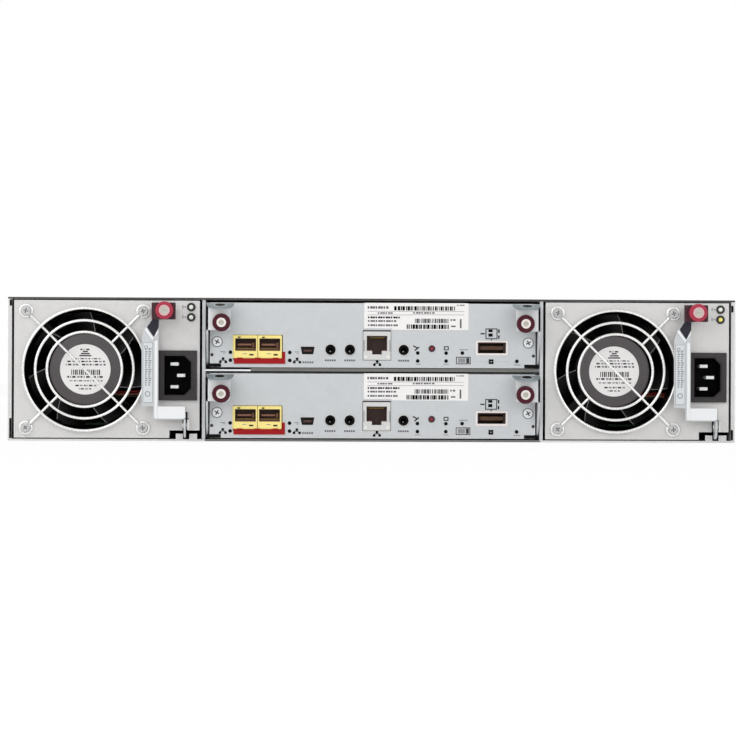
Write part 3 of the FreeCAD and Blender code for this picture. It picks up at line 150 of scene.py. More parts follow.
SHEET = finish("zinc_sheet", (208, 207, 206), 0.5, metal=0.45, cell=1.2, vary=0.03,
               rough_vary=0.06, bump=0.1, spangle=0.14)
SHEET_COOL = finish("zinc_sheet_cool", (197, 200, 202), 0.48, metal=0.45, cell=1, vary=0.03,
                    rough_vary=0.06, bump=0.1, spangle=0.1)
BRIGHT = finish("bright_nickel", (240, 240, 238), 0.26, metal=0.5, cell=0.6, vary=0.04,
                rough_vary=0.05, bump=0.08)
STEEL = finish("turned_steel", (200, 200, 200), 0.3, metal=0.8, cell=0.4, vary=0.06)
# Blue-grey painted as the reflection of a bluish surrounding on the lever tabs.
TAB_BLUE_REFLECTION = finish("painted_blue_reflection", (128, 138, 141), 0.6, metal=0.3, cell=0.8, vary=0.06, spangle=0.15, edge_highlight=0.5)
PAINT = finish("black_paint", (44, 44, 47), 0.42, cell=0.5, vary=0.1, bump=0.25, edge_highlight=0.3)
BLACK = finish("black_plastic", (24, 24, 26), 0.45, cell=0.4, bump=0.2, edge_highlight=0.4)
DARK = finish("dark_plastic", (60, 60, 62), 0.5, vary=0.1, bump=0.25, edge_highlight=0.4)
INLET = finish("inlet_plastic", (50, 47, 49), 0.5, vary=0.1, bump=0.3, edge_highlight=0.4, gloss=0.3)
HUB = finish("hub_plastic", (84, 79, 81), 0.48, cell=0.35, vary=0.08, bump=0.25, edge_highlight=0.2)
BLADE = finish("blade_plastic", (18, 16, 17), 0.5, cell=0.5, edge_highlight=0.6, gloss=0.25)
MAROON = finish("maroon_plastic", (70, 3, 26), 0.32, edge_highlight=0.5, gloss=0.3)
ROSE = finish("rose_plastic", (166, 48, 70), 0.34, vary=0.1, edge_highlight=0.4, gloss=0.3)
YELLOW = finish("yellow_steel", (244, 226, 140), 0.38, cell=0.5, vary=0.06, metal=0.25, edge_highlight=0.3)
RED = finish("red_gasket", (158, 14, 18), 0.5, cell=0.4, bump=0.25, gloss=0.2)
BOARD = finish("green_board", (30, 88, 54), 0.4, cell=0.6, vary=0.15, bump=0.2)
CASTING = finish("drive_casting", (150, 152, 155), 0.5, metal=0.7, cell=0.7, vary=0.08, bump=0.3,
                 edge_highlight=0.3)
PAPER = finish("white_label", (232, 230, 229), 0.6, vary=0.02, bump=0.1)
GREY_PAPER = finish("grey_label", (206, 210, 213), 0.55, vary=0.03, bump=0.1)
# Ink for print, also painted as shade on the floors of screw crosses.
DARK_INK_AND_SHADE = finish("dark_ink_and_shade", (26, 25, 27), 0.6, cell=0.2, vary=0.15, bump=0.05)
PITCH = finish("pitch_black", (8, 8, 9), 0.6, vary=0.2, bump=0.1, gloss=0.1)
# Painted shade for the latch's neck.
NECK_SHADE = finish("painted_neck_shade", (38, 36, 48), 0.45, cell=0.4, bump=0.2, gloss=0.25)
GRIP = finish("grip_plastic", (56, 10, 24), 0.4, vary=0.15, bump=0.2, edge_highlight=0.4)
# Painted shade along the rear edges of the tub and cover.
EDGE_SHADE = finish("painted_edge_shade", (70, 68, 67), 0.55, metal=0.3, cell=0.4, bump=0.2)
# Painted shade along the shelf and the tub's rear edge.
SHADE_GREY = finish("painted_shade_grey", (112, 112, 109), 0.6, metal=0.2, cell=0.5, bump=0.3)
# White zinc of pale metal parts, also painted on bevels and folds as a highlight.
PALE_ZINC_AND_HIGHLIGHT = finish("white_zinc_and_highlight", (228, 230, 231), 0.5, metal=0.2, cell=0.6, vary=0.03, bump=0.08)
BLUSH = finish("pale_copper", (232, 224, 221), 0.4, metal=0.3, cell=0.4, vary=0.05, bump=0.1)
PINK = finish("pale_rose", (222, 164, 170), 0.4, vary=0.06, bump=0.1, gloss=0.3)
CLAY = finish("clay_contacts", (150, 104, 86), 0.45, metal=0.2, vary=0.1, bump=0.1)
CAP = finish("turned_cap", (186, 184, 174), 0.5, metal=0.3, cell=0.4, vary=0.06)
# Grey ink for print, also painted as the shadow round the face screws.
MID_INK_AND_SHADE = finish("mid_ink_and_shade", (84, 84, 88), 0.6, cell=0.2, bump=0.05)
# Painted highlight for the blades' front edges.
BLADE_EDGE_HIGHLIGHT = finish("painted_blade_highlight", (150, 146, 146), 0.5, bump=0.1)
FADED = finish("grey_ink", (138, 138, 142), 0.6, cell=0.2, bump=0.05)
# Dark brown of small tabs, also painted as shade inside the mouths of ports.
DARK_BROWN_AND_HOLLOW_SHADE = finish("dark_brown_and_hollow_shade", (38, 22, 16), 0.5, cell=0.5, vary=0.2, bump=0.2)
# Brown painted as shade inside ports and cages, and as a reflection on their tongues.
BROWN_SHADE_AND_REFLECTION = finish("painted_brown_shade_and_reflection", (74, 42, 34), 0.45, vary=0.15, bump=0.2)
COPPER = finish("gold_contacts", (196, 150, 70), 0.25, metal=0.9, vary=0.08)
LENS = finish("lens_clear", (226, 232, 220), 0.15, vary=0.04, bump=0.05, coat=0.5)
AMBER = finish("lens_yellow", (238, 226, 110), 0.15, vary=0.05, bump=0.05, coat=0.5)
WIRES = [finish(f"{word}_wire", tone, 0.4, cell=0.4, vary=0.1, bump=0.1)
         for word, tone in (("red", (196, 46, 40)), ("tan", (214, 150, 120)), ("black", (30, 28, 28)))]


# ---------------- mesh drawing, in millimetres

def oblong(left, low, right, high):
    """The corners of an upright rectangle."""
    return [(left, low), (right, low), (right, high), (left, high)]


def disc(radius, steps, x=0.0, z=0.0, turn=0.0):
    """The corners of a circle with this many steps."""
    angles = [turn + 2 * math.pi * step / steps for step in range(steps)]
    return [(x + radius * math.cos(angle), z + radius * math.sin(angle)) for angle in angles]


ARC_STEPS = 4


def rounded(points, radius):
    """An outline with every corner rounded by an arc. radius is one number or one per corner."""
    smooth = []
    count = len(points)
    for index, point in enumerate(points):
        reach = radius[index] if isinstance(radius, (list, tuple)) else radius
        here = Vector(point)
        to_before = Vector(points[index - 1]) - here
        to_after = Vector(points[(index + 1) % count]) - here
        if reach <= 0:
            smooth.append(tuple(here))
            continue
        half = to_before.angle(to_after) / 2
        trim = min(reach / math.tan(half), 0.49 * to_before.length, 0.49 * to_after.length)
        start, end = here + to_before.normalized() * trim, here + to_after.normalized() * trim
        for step in range(ARC_STEPS + 1):
            share = step / ARC_STEPS
            smooth.append(tuple(start * (1 - share) ** 2 + here * 2 * share * (1 - share)
                                + end * share ** 2))
    return smooth


def placed(pair, level, axis):
    """A point of an outline at a level along one axis."""
    first, second = pair
    return Vector(((level, first, second), (first, level, second), (first, second, level))[axis])


def prism(mesh, outlines, low, high, axis=1, paint=0):
    """Solid between two levels along an axis. The first outline is the rim, the others are holes."""
    flat = [[Vector((*pair, 0)) for pair in outline] for outline in outlines]
    levels = []
    for level in (low, high):
        levels.append([mesh.verts.new(placed(pair, level, axis))
                       for outline in outlines for pair in outline])
    caps = geometry.tessellate_polygon(flat)
    faces = [[row[index] for index in corner] for row in levels for corner in caps]
    first = 0
    for outline in outlines:
        count = len(outline)
        for step in range(count):
            here, following = first + step, first + (step + 1) % count
            faces.append((levels[0][here], levels[0][following], levels[1][following], levels[1][here]))
        first += count
    for corners in faces:
        mesh.faces.new(corners).material_index = paint


def block(mesh, left, low, right, high, near, far, paint=0, soft=0, holes=()):
    """Box between two levels along Y. soft rounds its corners, and holes are cut through it."""
    rim = oblong(left, low, right, high)
    prism(mesh, [rounded(rim, soft) if soft else rim, *holes], near, far, paint=paint)


def mark(mesh, left, low, right, high, paint=0, top=0, line=0):
    """Bar of ink on the level top, or its outline where a line's width is given."""
    holes = [oblong(left + line, low + line, right - line, high - line)] if line else ()
    block(mesh, left, low, right, high, top - INK_LIFT, top, paint, holes=holes)


def shell(mesh, skins):
    """Close two equal grids of vertices into one thin solid."""
    rows, columns = len(skins[0]) - 1, len(skins[0][0]) - 1
    for row in range(rows):
        for column in range(columns):
            for skin in skins:
                mesh.faces.new((skin[row][column], skin[row][column + 1],
                                skin[row + 1][column + 1], skin[row + 1][column]))
    rim = [(row, 0) for row in range(rows)] + [(rows, column) for column in range(columns)]
    rim += [(row, columns) for row in range(rows, 0, -1)]
    rim += [(0, column) for column in range(columns, 0, -1)]
    near, far = [[skin[row][column] for row, column in rim] for skin in skins]
    for step in range(len(rim)):
        ahead = (step + 1) % len(rim)
        mesh.faces.new((near[step], near[ahead], far[ahead], far[step]))


def lathe(mesh, profile, centre=(0, 0, 0), steps=32, paint=0):
    """Turn a profile of (radius, y) about an axis along Y through centre. A profile that keeps
    clear of the axis is a ring's, so its ends are joined."""
    rows = []
    for radius, level in profile:
        if radius == 0:
            rows.append([mesh.verts.new(Vector(centre) + Vector((0, level, 0)))])
            continue
        rows.append([mesh.verts.new(Vector(centre) + Vector((x, level, z)))
                     for x, z in disc(radius, steps)])
    if profile[0][0] and profile[-1][0]:
        rows.append(rows[0])
    for row, following in zip(rows, rows[1:]):
        for step in range(steps):
            ahead = (step + 1) % steps
            corners = [row[step % len(row)], row[ahead % len(row)],
                       following[ahead % len(following)], following[step % len(following)]]
            corners = list(dict.fromkeys(corners))
            if len(corners) > 2:
                mesh.faces.new(corners).material_index = paint


def tube(mesh, points, radius, closed=False, sides=10, paint=0):
    """Round wire along points, joined into a ring where it is closed."""
    points = [Vector(point) for point in points]
    count = len(points)
    circle = disc(1, sides)
    rings = []
    side = None
    for index, point in enumerate(points):
        ahead = points[(index + 1) % count] if closed or index + 1 < count else point
        behind = points[index - 1] if closed or index else point
        along = (ahead - behind).normalized()
        if side is None:
            side = along.orthogonal() if abs(along.y) > 0.9 else Vector((0, 1, 0))
        side = (side - along * side.dot(along)).normalized()
        other = along.cross(side)
        rings.append([mesh.verts.new(point + (side * a + other * b) * radius) for a, b in circle])
    for ring, following in zip(rings, rings[1:] + (rings[:1] if closed else [])):
        for step in range(sides):
            ahead = (step + 1) % sides
            corners = (ring[step], ring[ahead], following[ahead], following[step])
            mesh.faces.new(corners).material_index = paint
    if not closed:
        for ring in (rings[0], rings[-1]):
            mesh.faces.new(ring).material_index = paint


def shown(name, mesh, place, body, materials, bevel=0.0, smooth=35, slot="zinc_steel", worn=None):
    """The object of a drawn mesh, riding on a body. Its sharp edges are rounded, in a pale finish
    painted as a highlight where one is given, and the rest is shaded smooth."""
    data = bpy.data.meshes.new(name)
    mesh.to_mesh(data)
    mesh.free()
    made = bpy.data.objects.new(name, data)
    SCENE.collection.objects.link(made)
    made.location = place
    for material in materials:
        data.materials.append(material)
    if bevel:
        edges = made.modifiers.new("edges", "BEVEL")
        edges.width = bevel * MM
        edges.segments = 2
        edges.limit_method = "ANGLE"
        edges.angle_limit = math.radians(smooth)
        edges.use_clamp_overlap = True
        edges.harden_normals = True
        # The bevels take the pale finish as a painted highlight along the sharp edges.
        if worn:
            data.materials.append(worn)
            edges.material = len(data.materials) - 1
    data.shade_smooth()
    data.set_sharp_from_angle(angle=math.radians(smooth))
    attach(made, body)
    return made


def piece(name, mesh, place, body, materials, **looks):
    """Turn a drawing in millimetres into a piece at a place in metres, with the looks of shown."""
    bmesh.ops.recalc_face_normals(mesh, faces=mesh.faces)
    bmesh.ops.dissolve_limit(mesh, angle_limit=FLAT, verts=mesh.verts, edges=mesh.edges,
                             delimit={"MATERIAL"})
    mesh.transform(Matrix.Scale(MM, 4))
    return shown(name, mesh, place, body, materials, **looks)


def carried(node, materials, bevel=0.2, chooser=None, **looks):
    """A node of the frame with rounded edges: its surface is joined, flattened and bevelled.
    chooser picks each face's finish by the face's centre in millimetres."""
    mesh = bmesh.new()
    mesh.from_mesh(frame["nodes"][node].data)
    bmesh.ops.remove_doubles(mesh, verts=mesh.verts, dist=0.002 * MM)
    bmesh.ops.dissolve_limit(mesh, angle_limit=FLAT, verts=mesh.verts, edges=mesh.edges)
    if chooser:
        for face in mesh.faces:
            face.material_index = chooser(face.calc_center_median() / MM)
    made = shown(f"{node}_dress", mesh, (0, 0, 0), body_of(node), materials, bevel, 30, **looks)
    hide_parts(node)
    return made


def body_of(node):
    """The body that a node of the frame belongs to."""
    bodies = frame["record"]["behaviour"]["bodies"]
    return next(body for body, members in bodies.items() if node in members)


def on_face(node):
    """The place on the rear face in front of a node's centre."""
    low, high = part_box(node)
    centre = (low + high) / 2
    return Vector((centre.x, FACE_Y, centre.z))


# ---------------- places on the frame

SHEET_METAL = 1.2
FACE_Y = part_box("psu_left_fan_frame")[0].y - SHEET_METAL * MM
INK_LIFT = 0.06


# ---------------- screws

def spin(x, z, turn):
    """A point turned about the origin."""
    return x * math.cos(turn) - z * math.sin(turn), x * math.sin(turn) + z * math.cos(turn)


def cross(reach, width, x=0.0, z=0.0, turn=0.0):
    """A plus-shaped outline."""
    half = width / 2
    arm = [(half, half), (half, reach), (-half, reach), (-half, half), (-reach, half), (-reach, -half)]
    return [(x + a * math.cos(turn) - b * math.sin(turn), z + a * math.sin(turn) + b * math.cos(turn))
            for a, b in [*arm, *[(-a, -b) for a, b in arm]]]


def pan_head(mesh, x, z, radius, height, turn):
    """Pan head on the face, with a sunk cross whose floor is painted dark as shade."""
    prism(mesh, [disc(radius, 20, x, z)], -height * 0.55, 0)
    sunk = cross(radius * 0.56, radius * 0.24, x, z, turn)
    prism(mesh, [disc(radius * 0.86, 20, x, z), sunk], -height, -height * 0.55)
    prism(mesh, [sunk], -height * 0.6, -height * 0.55, paint=1)


def hex_head(mesh, x, z, radius, height, turn):
    """Darker hexagon head on a washer flange, with a sunk cross."""
    prism(mesh, [disc(radius, 20, x, z)], -height * 0.3, 0)
    sunk = cross(radius * 0.45, radius * 0.2, x, z, turn)
    prism(mesh, [disc(radius * 0.86, 6, x, z, turn), sunk], -height, -height * 0.3, paint=1)


def thumbscrew(stem, finishes, core, cap):
    """Captive screw: a fluted grip ring round a pale core, a cap with a faint slot, and a shank."""
    node = f"{stem}_thumbscrew"
    low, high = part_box(node)
    depth = (high.y - low.y) / MM
    flutes = []
    for step, (x, z) in enumerate(disc(1, 48)):
        reach = 5.6 if step % 2 else 5.35
        flutes.append((reach * x, reach * z))
    bore = disc(core + 0.2, 24)
    face = disc(cap, 24)
    mesh = bmesh.new()
    prism(mesh, [disc(5.2, 48), bore], 0.9, 1.5)
    prism(mesh, [flutes, bore], 1.5, 5.7)
    prism(mesh, [disc(5, 32), disc(2.2, 24)], 5.7, 6)
    prism(mesh, [disc(core, 28), face], 0.1, 3, paint=1)
    prism(mesh, [face, oblong(-1.4, -0.3, 1.4, 0.3)], 0.3, 0.7, paint=2)
    prism(mesh, [face], 0.7, 3, paint=2)
    lathe(mesh, [(0, 3), (1.9, 3), (1.9, depth - 0.8), (1.3, depth), (0, depth)], steps=16, paint=1)
    place = on_face(node)
    place.y = low.y
    made = piece(f"{stem}_knob", mesh, place, f"{node}_body", [*finishes, CAP], bevel=0.12,
                 slot="maroon_plastic")
    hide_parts(node)


# ---------------- power supply

# The directions of the fan's corners, then the guard's rings, wires and screw eyes.
CORNERS = [math.radians(45 + 90 * quarter) for quarter in range(4)]
GUARD_RINGS = (22.9, 30, 37.5)
RING_WIRE, SPOKE_WIRE = 0.82, 0.78
EYE_AT, EYE_RADIUS, EYE_LEVEL = 50.56, 3.6, -0.85


def build_guard(word, fan):
    """Round wire guard: three rings, four diagonal spokes that end in eyes, one carried across."""
    mesh = bmesh.new()
    for radius in GUARD_RINGS:
        tube(mesh, [(x, -2.6, z) for x, z in disc(radius, 72)], RING_WIRE, closed=True)
    for quarter, turn in enumerate(CORNERS):
        start = 0 if quarter in (1, 3) else 22.4
        spoke = []
        for reach, level in ((start, -1.1), (40, -1.1), (44, -0.95), (46.9, EYE_LEVEL)):
            x, z = spin(reach, 0, turn)
            spoke.append((x, level, z))
        tube(mesh, spoke, SPOKE_WIRE)
        eye = []
        for step in range(25):
            angle = math.radians(200 + 320 * step / 24)
            x, z = spin(EYE_AT + EYE_RADIUS * math.cos(angle), EYE_RADIUS * math.sin(angle), turn)
            eye.append((x, EYE_LEVEL, z))
        tube(mesh, eye, SPOKE_WIRE)
    made = piece(f"{word}_wire_guard", mesh, fan, word, [BRIGHT], smooth=60, slot="bright_wire")
    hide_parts(f"{word}_fan_guard")
    mesh = bmesh.new()
    for quarter, turn in enumerate(CORNERS):
        x, z = spin(EYE_AT, 0, turn)
        hex_head(mesh, x, z, 3.3, 3.4, 0.3 + quarter)
    piece(f"{word}_guard_screws", mesh, fan, word, [PALE_ZINC_AND_HIGHLIGHT, STEEL], bevel=0.15)


def build_hub(word, fan):
    """The rotor's hub: an open cup with a rounded edge, on its shaft."""
    mesh = bmesh.new()
    hub = 22.2
    profile = [(0, 6), (15.6, 6), (16, 6.3), (hub - 1.6, 6.3), (hub - 0.5, 6.8), (hub, 8),
               (hub, 31), (20.7, 31), (20.7, 7.8), (1.5, 7.8), (1.5, 38.6), (0, 38.6)]
    lathe(mesh, profile, steps=64)
    made = piece(f"{word}_hub", mesh, fan, f"{word}_fan_rotor_body", [HUB], smooth=40, slot="black_plastic")
    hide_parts(f"{word}_fan_rotor")


def build_blades(word, fan):
    """Seven twisted blades that thin out towards their edges, each with a front edge painted pale as a
    highlight.
    """
    mesh = bmesh.new()
    rows, columns, blades = 8, 7, 7
    root, tip = 21.6, 35.4
    for blade in range(blades):
        turn = math.radians(91 + 360 * blade / blades)
        skins = ([], [])
        edge = []
        for row in range(rows + 1):
            share = row / rows
            radius = root + share * (tip - root)
            sweep = math.radians(17 - 3 * share)
            lean = math.radians(9) * share
            if row:
                x, z = spin(radius, 0, turn + lean - sweep)
                edge.append((x, 9.3 + 1.5 * share, z))
            for skin in skins:
                skin.append([])
            for column in range(columns + 1):
                chord = column / columns
                angle = turn + lean + sweep * (2 * chord - 1) + math.radians(4) * math.sin(math.pi * chord)
                level = 9.5 + (18.5 - 2 * share) * chord + 1.5 * share
                thick = 0.25 + 0.65 * math.sin(math.pi * min(1, 0.15 + chord * 0.85))
                for skin, sign in zip(skins, (-1, 1)):
                    x, z = spin(radius, 0, angle - sign * thick / radius / 2)
                    skin[row].append(mesh.verts.new((x, level + sign * thick * 0.4, z)))
        shell(mesh, skins)
        # A pale wire along each front edge: a painted highlight.
        tube(mesh, edge, 0.22, sides=6, paint=1)
    piece(f"{word}_blades", mesh, fan, f"{word}_fan_rotor_body", [BLADE, BLADE_EDGE_HIGHLIGHT], smooth=50,
          slot="black_plastic")


def build_hub_label(word, fan):
    """Plain round label with dashed rules and bars in place of any text."""
    mesh = bmesh.new()
    top = 5.85
    prism(mesh, [disc(15.5, 64)], top, 6)
    rules = ((-12.4, 8, 0.8), (-10.4, 12, 0.9), (-7.4, 19, 0.7), (-5.2, 22, 1.1), (2.4, 24, 1),
             (4.4, 22, 0.9), (6.2, 17, 0.7), (11.8, 6, 0.9))
    for row, (low, wide, tall) in enumerate(rules):
        left = -wide / 2
        step = 0
        while left < wide / 2:
            dash = 0.7 + (step * 7 + row * 3) % 4 * 0.45
            mark(mesh, left, low, left + dash, low + tall, 1 + (step + row) % 2, top)
            left += dash + 0.5 + (step + row) % 3 * 0.2
            step += 1
    for step in range(15):
        left = -8.6 + step * 1.2
        mark(mesh, left, -3.4, left + 0.45 + step % 3 * 0.2, -0.2, 2, top)
    for low, wide in ((8, 7.4), (9.3, 5.4), (10.6, 3.2)):
        mark(mesh, -wide / 2, low, wide / 2, low + 0.8, 2, top)
    piece(f"{word}_hub_label", mesh, fan, f"{word}_fan_rotor_body", [PAPER, FADED, DARK_INK_AND_SHADE], smooth=30,
          slot="black_plastic")


def build_fan(word, fan):
    """Fan housing with flanges and struts."""
    mesh = bmesh.new()
    half, near, far, flange, strut = 40, 1.2, 39.2, 4.5, 4
    bore = disc(38.2, 64)
    corner = rounded(oblong(-half, -half, half, half), 4)
    waist = rounded(oblong(-half + 0.9, -half + 0.9, half - 0.9, half - 0.9), 9)
    holes = [disc(2.2, 16, sx * 35.75, sz * 35.75) for sx in (-1, 1) for sz in (-1, 1)]
    prism(mesh, [corner, bore] + holes, near, near + flange)
    prism(mesh, [waist, bore], near + flange, far - flange)
    prism(mesh, [corner, bore] + holes, far - flange, far)
    for turn in CORNERS:
        arm = [spin(a, b, turn) for a, b in oblong(18.5, -2.5, 38.9, 2.5)]
        prism(mesh, [arm], far - strut, far)
    prism(mesh, [disc(20, 48), disc(1.6, 16)], far - strut, far)
    made = piece(f"{word}_fan_housing", mesh, fan, word, [BLACK], bevel=0.25, slot="black_plastic")
    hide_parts(f"{word}_fan_frame")


def build_leads(word, fan):
    """The fan's three leads along one strut."""
    for index, (drop, level) in enumerate(((14.2, 33.2), (15.8, 33.4), (17.3, 33.1))):
        mesh = bmesh.new()
        path = [(14 + index, level + 0.4, -drop + 1.2), (19, level, -drop), (25, level - 0.3, -drop + 0.4),
                (31, level, -drop + 0.6), (36.2, level + 0.2, -drop)]
        tube(mesh, path, 0.8, sides=8)
        piece(f"{word}_fan_lead_{index + 1}", mesh, fan, word, [WIRES[index]], smooth=60,
              slot="black_plastic")


def build_inlet(word):
    """Three-pin appliance inlet: a chamfered flange, a keyed shroud inside it, and flat pins. The shroud's
    walls and floor are painted pitch black as the shade in the cavity.
    """
    place = on_face(f"{word}_ac_inlet")
    mesh = bmesh.new()
    wide, tall, clip = 8.15, 12, 4
    cavity = [(-wide, -tall), (wide - clip, -tall), (wide, clip - tall), (wide, tall - clip),
              (wide - clip, tall), (-wide, tall)]
    lip = [(x * 1.09, z * 1.06) for x, z in cavity]
    block(mesh, -11.8, -15.3, 11.8, 15.3, -2, 0, holes=[lip])
    prism(mesh, [lip, cavity], -1.5, 0)
    # Painted shade: the shroud round the cavity and its floor are pitch black.
    block(mesh, -9.8, -13.6, 9.8, 13.6, 0, 15, 1, holes=[cavity])
    block(mesh, -9.8, -13.6, 9.8, 13.6, 15, 22)
    prism(mesh, [cavity], 14.9, 15, paint=1)
    made = piece(f"{word}_inlet_shell", mesh, place, word, [INLET, PITCH], bevel=0.25, slot="black_plastic")
    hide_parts(f"{word}_ac_inlet")
    mesh = bmesh.new()
    for x, z in ((-2, 7), (2, 0), (-2, -7)):
        block(mesh, x - 2.5, z - 1, x + 2.5, z + 1, 1, 15, soft=0.35)
    piece(f"{word}_inlet_pins", mesh, place, word, [PALE_ZINC_AND_HIGHLIGHT], bevel=0.3, slot="bright_wire")


LATCH_FRONT, LATCH_BACK = -9, -7.8
LATCH_HOLE = disc(2, 20, 92.2, 79.9)


def build_latch(word, place):
    """Bent latch: the pull arm with its screw plate and its hooked flange."""
    front = LATCH_FRONT
    mesh = bmesh.new()
    arm = [(78.3, 21.5), (85.4, 21.5), (85.4, 13.5), (105.2, 13.5), (105.2, 21.5), (88.5, 21.5),
           (88.5, 70.4), (90.5, 74.4), (98.9, 74.4), (98.9, 84.7), (84.3, 84.7), (84.3, 74.4),
           (80.3, 69), (78.3, 63)]
    radii = [1.5, 0.5, 1.0, 0.3, 0.3, 1.0, 1.0, 0.8, 0.6, 0.6, 0.6, 0.8, 1.5, 1.5]
    prism(mesh, [rounded(arm, radii), LATCH_HOLE], front, LATCH_BACK)
    side = [(front, 21.5), (front, 8.5), (-7.2, 3.4), (-2.8, 2.2), (-0.6, 4), (-0.6, 13), (-6.6, 21.5)]
    prism(mesh, [rounded(side, [0.5, 1.5, 0.8, 0.8, 0.8, 1.5, 1]), disc(1.56, 20, -5, 10)],
          104, 105.2, axis=0)
    made = piece(f"{word}_latch_arm", mesh, place, f"{word}_latch_body", [SHEET_COOL], bevel=0.3,
                 worn=PALE_ZINC_AND_HIGHLIGHT)
    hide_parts(f"{word}_latch")


def build_grip(word, place):
    """The latch's plastic grip over its screw plate, with its neck painted dark as shade, and the folds of
    its arm painted pale as highlights.
    """
    body, front = f"{word}_latch_body", LATCH_FRONT
    mesh = bmesh.new()
    block(mesh, 84.3, 74.4, 98.9, 84.7, front - 2, front, soft=0.5, holes=[LATCH_HOLE])
    block(mesh, 97.2, 74.6, 98.7, 84.5, front - 3, front - 2, soft=0.3)
    # The neck is painted dark blue-grey as the shade it lies in.
    neck = [(81.6, 69.7), (85.6, 63.8), (88.6, 69.6), (88.7, 74.2), (84.7, 74.4)]
    prism(mesh, [rounded(neck, 0.4)], front - 0.9, front, paint=1)
    piece(f"{word}_latch_grip", mesh, place, body, [GRIP, NECK_SHADE], bevel=0.35, slot="maroon_plastic")
    # Pale strips along the arm's folds: painted highlights.
    mesh = bmesh.new()
    block(mesh, 86.2, 14, 88, 61.5, front - 0.4, front, soft=0.5)
    block(mesh, 88.1, 14, 105, 21.2, front - 0.15, front, soft=0.5)
    prism(mesh, [[(80, 68.2), (81.2, 69.5), (85.6, 63.2), (84.9, 61.6)]], front - 0.7, front)
    prism(mesh, [[(85.6, 63.2), (84.9, 61.6), (88.4, 66.6), (88.4, 69)]], front - 0.7, front)
    piece(f"{word}_latch_bend_highlights", mesh, place, body, [PALE_ZINC_AND_HIGHLIGHT], bevel=0.2)


def build_latch_label(word, place):
    """Bare label on the latch's arm, with two columns of bars, a ring and a frame."""
    mesh = bmesh.new()
    top = LATCH_FRONT - 0.12
    block(mesh, 78.8, 23.4, 85.3, 60.6, top, LATCH_FRONT, soft=0.5)
    for row in range(17):
        low = 34 + row * 1.35
        wide = 2.2 + (row * 5) % 4 * 0.5
        mark(mesh, 80.4, low, 80.4 + wide * 0.4, low + 0.8, 1, top)
        mark(mesh, 82.4, low, 82.4 + wide * 0.5, low + 0.8, 1, top)
    prism(mesh, [disc(1.7, 20, 82, 29), disc(1.2, 20, 82, 29)], top - INK_LIFT, top, paint=1)
    mark(mesh, 80, 56.4, 82, 58.4, 1, top, line=0.4)
    mark(mesh, 82.8, 56.4, 84.4, 56.9, 1, top)
    mark(mesh, 79, 23.6, 85.1, 60.4, 1, top, line=0.25)
    piece(f"{word}_latch_label", mesh, place, f"{word}_latch_body", [GREY_PAPER, FADED], smooth=30)


def build_lamps(word, place, lenses):
    """Two status lamps in dark collars, with small marks beside them."""
    x = 108.1
    lens = [(0, 0.1), (1.4, 0.1), (1.4, -0.5), (1, -0.95), (0, -1.15)]
    mesh = bmesh.new()
    for row, z in enumerate((82.2, 76)):
        prism(mesh, [disc(2.65, 28, x, z), disc(1.35, 28, x, z)], -0.7, 0)
        lathe(mesh, lens, (x, 0, z), 24, paint=1 + row)
        mark(mesh, 102.6, z - 0.9, 103.3, z + 1.2, 3)
        mark(mesh, 103.9, z - 0.3, 104.9, z + 0.5, 3)
    piece(f"{word}_status_lamps", mesh, place, word, [BLACK, *lenses, FADED], bevel=0.12,
          slot="black_plastic")


def build_psu(word, lenses):
    """One power supply with all that it carries."""
    fan = on_face(f"{word}_fan_frame")
    corner = Vector((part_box(f"{word}_case")[0].x, FACE_Y, 0))
    carried(f"{word}_case", [SHEET], 0.25, worn=PALE_ZINC_AND_HIGHLIGHT)
    for build in (build_guard, build_hub, build_blades, build_hub_label, build_fan, build_leads):
        build(word, fan)
    build_inlet(word)
    for build in (build_latch, build_grip, build_latch_label):
        build(word, corner)
    thumbscrew(word, [ROSE, PINK], 3.4, 2.6)
    build_lamps(word, corner, lenses)


# ---------------- controller

FACE_SCREW_X, FACE_SCREW_Z = 95.6, 15.6


def icon_arrows(mesh, x, z):
    """A small three-branch mark."""
    for shift, rise in ((-1.7, -0.9), (1.7, -0.9), (0, 1.2)):
        mark(mesh, x + shift - 0.8, z + rise - 0.7, x + shift + 0.8, z + rise + 0.7, 2)
    for low, wide in ((-0.1, 1.9), (0.3, 0.3)):
        block(mesh, x - wide, z + low, x + wide, z + low + 0.4, -1.5 * INK_LIFT, 0, 2)


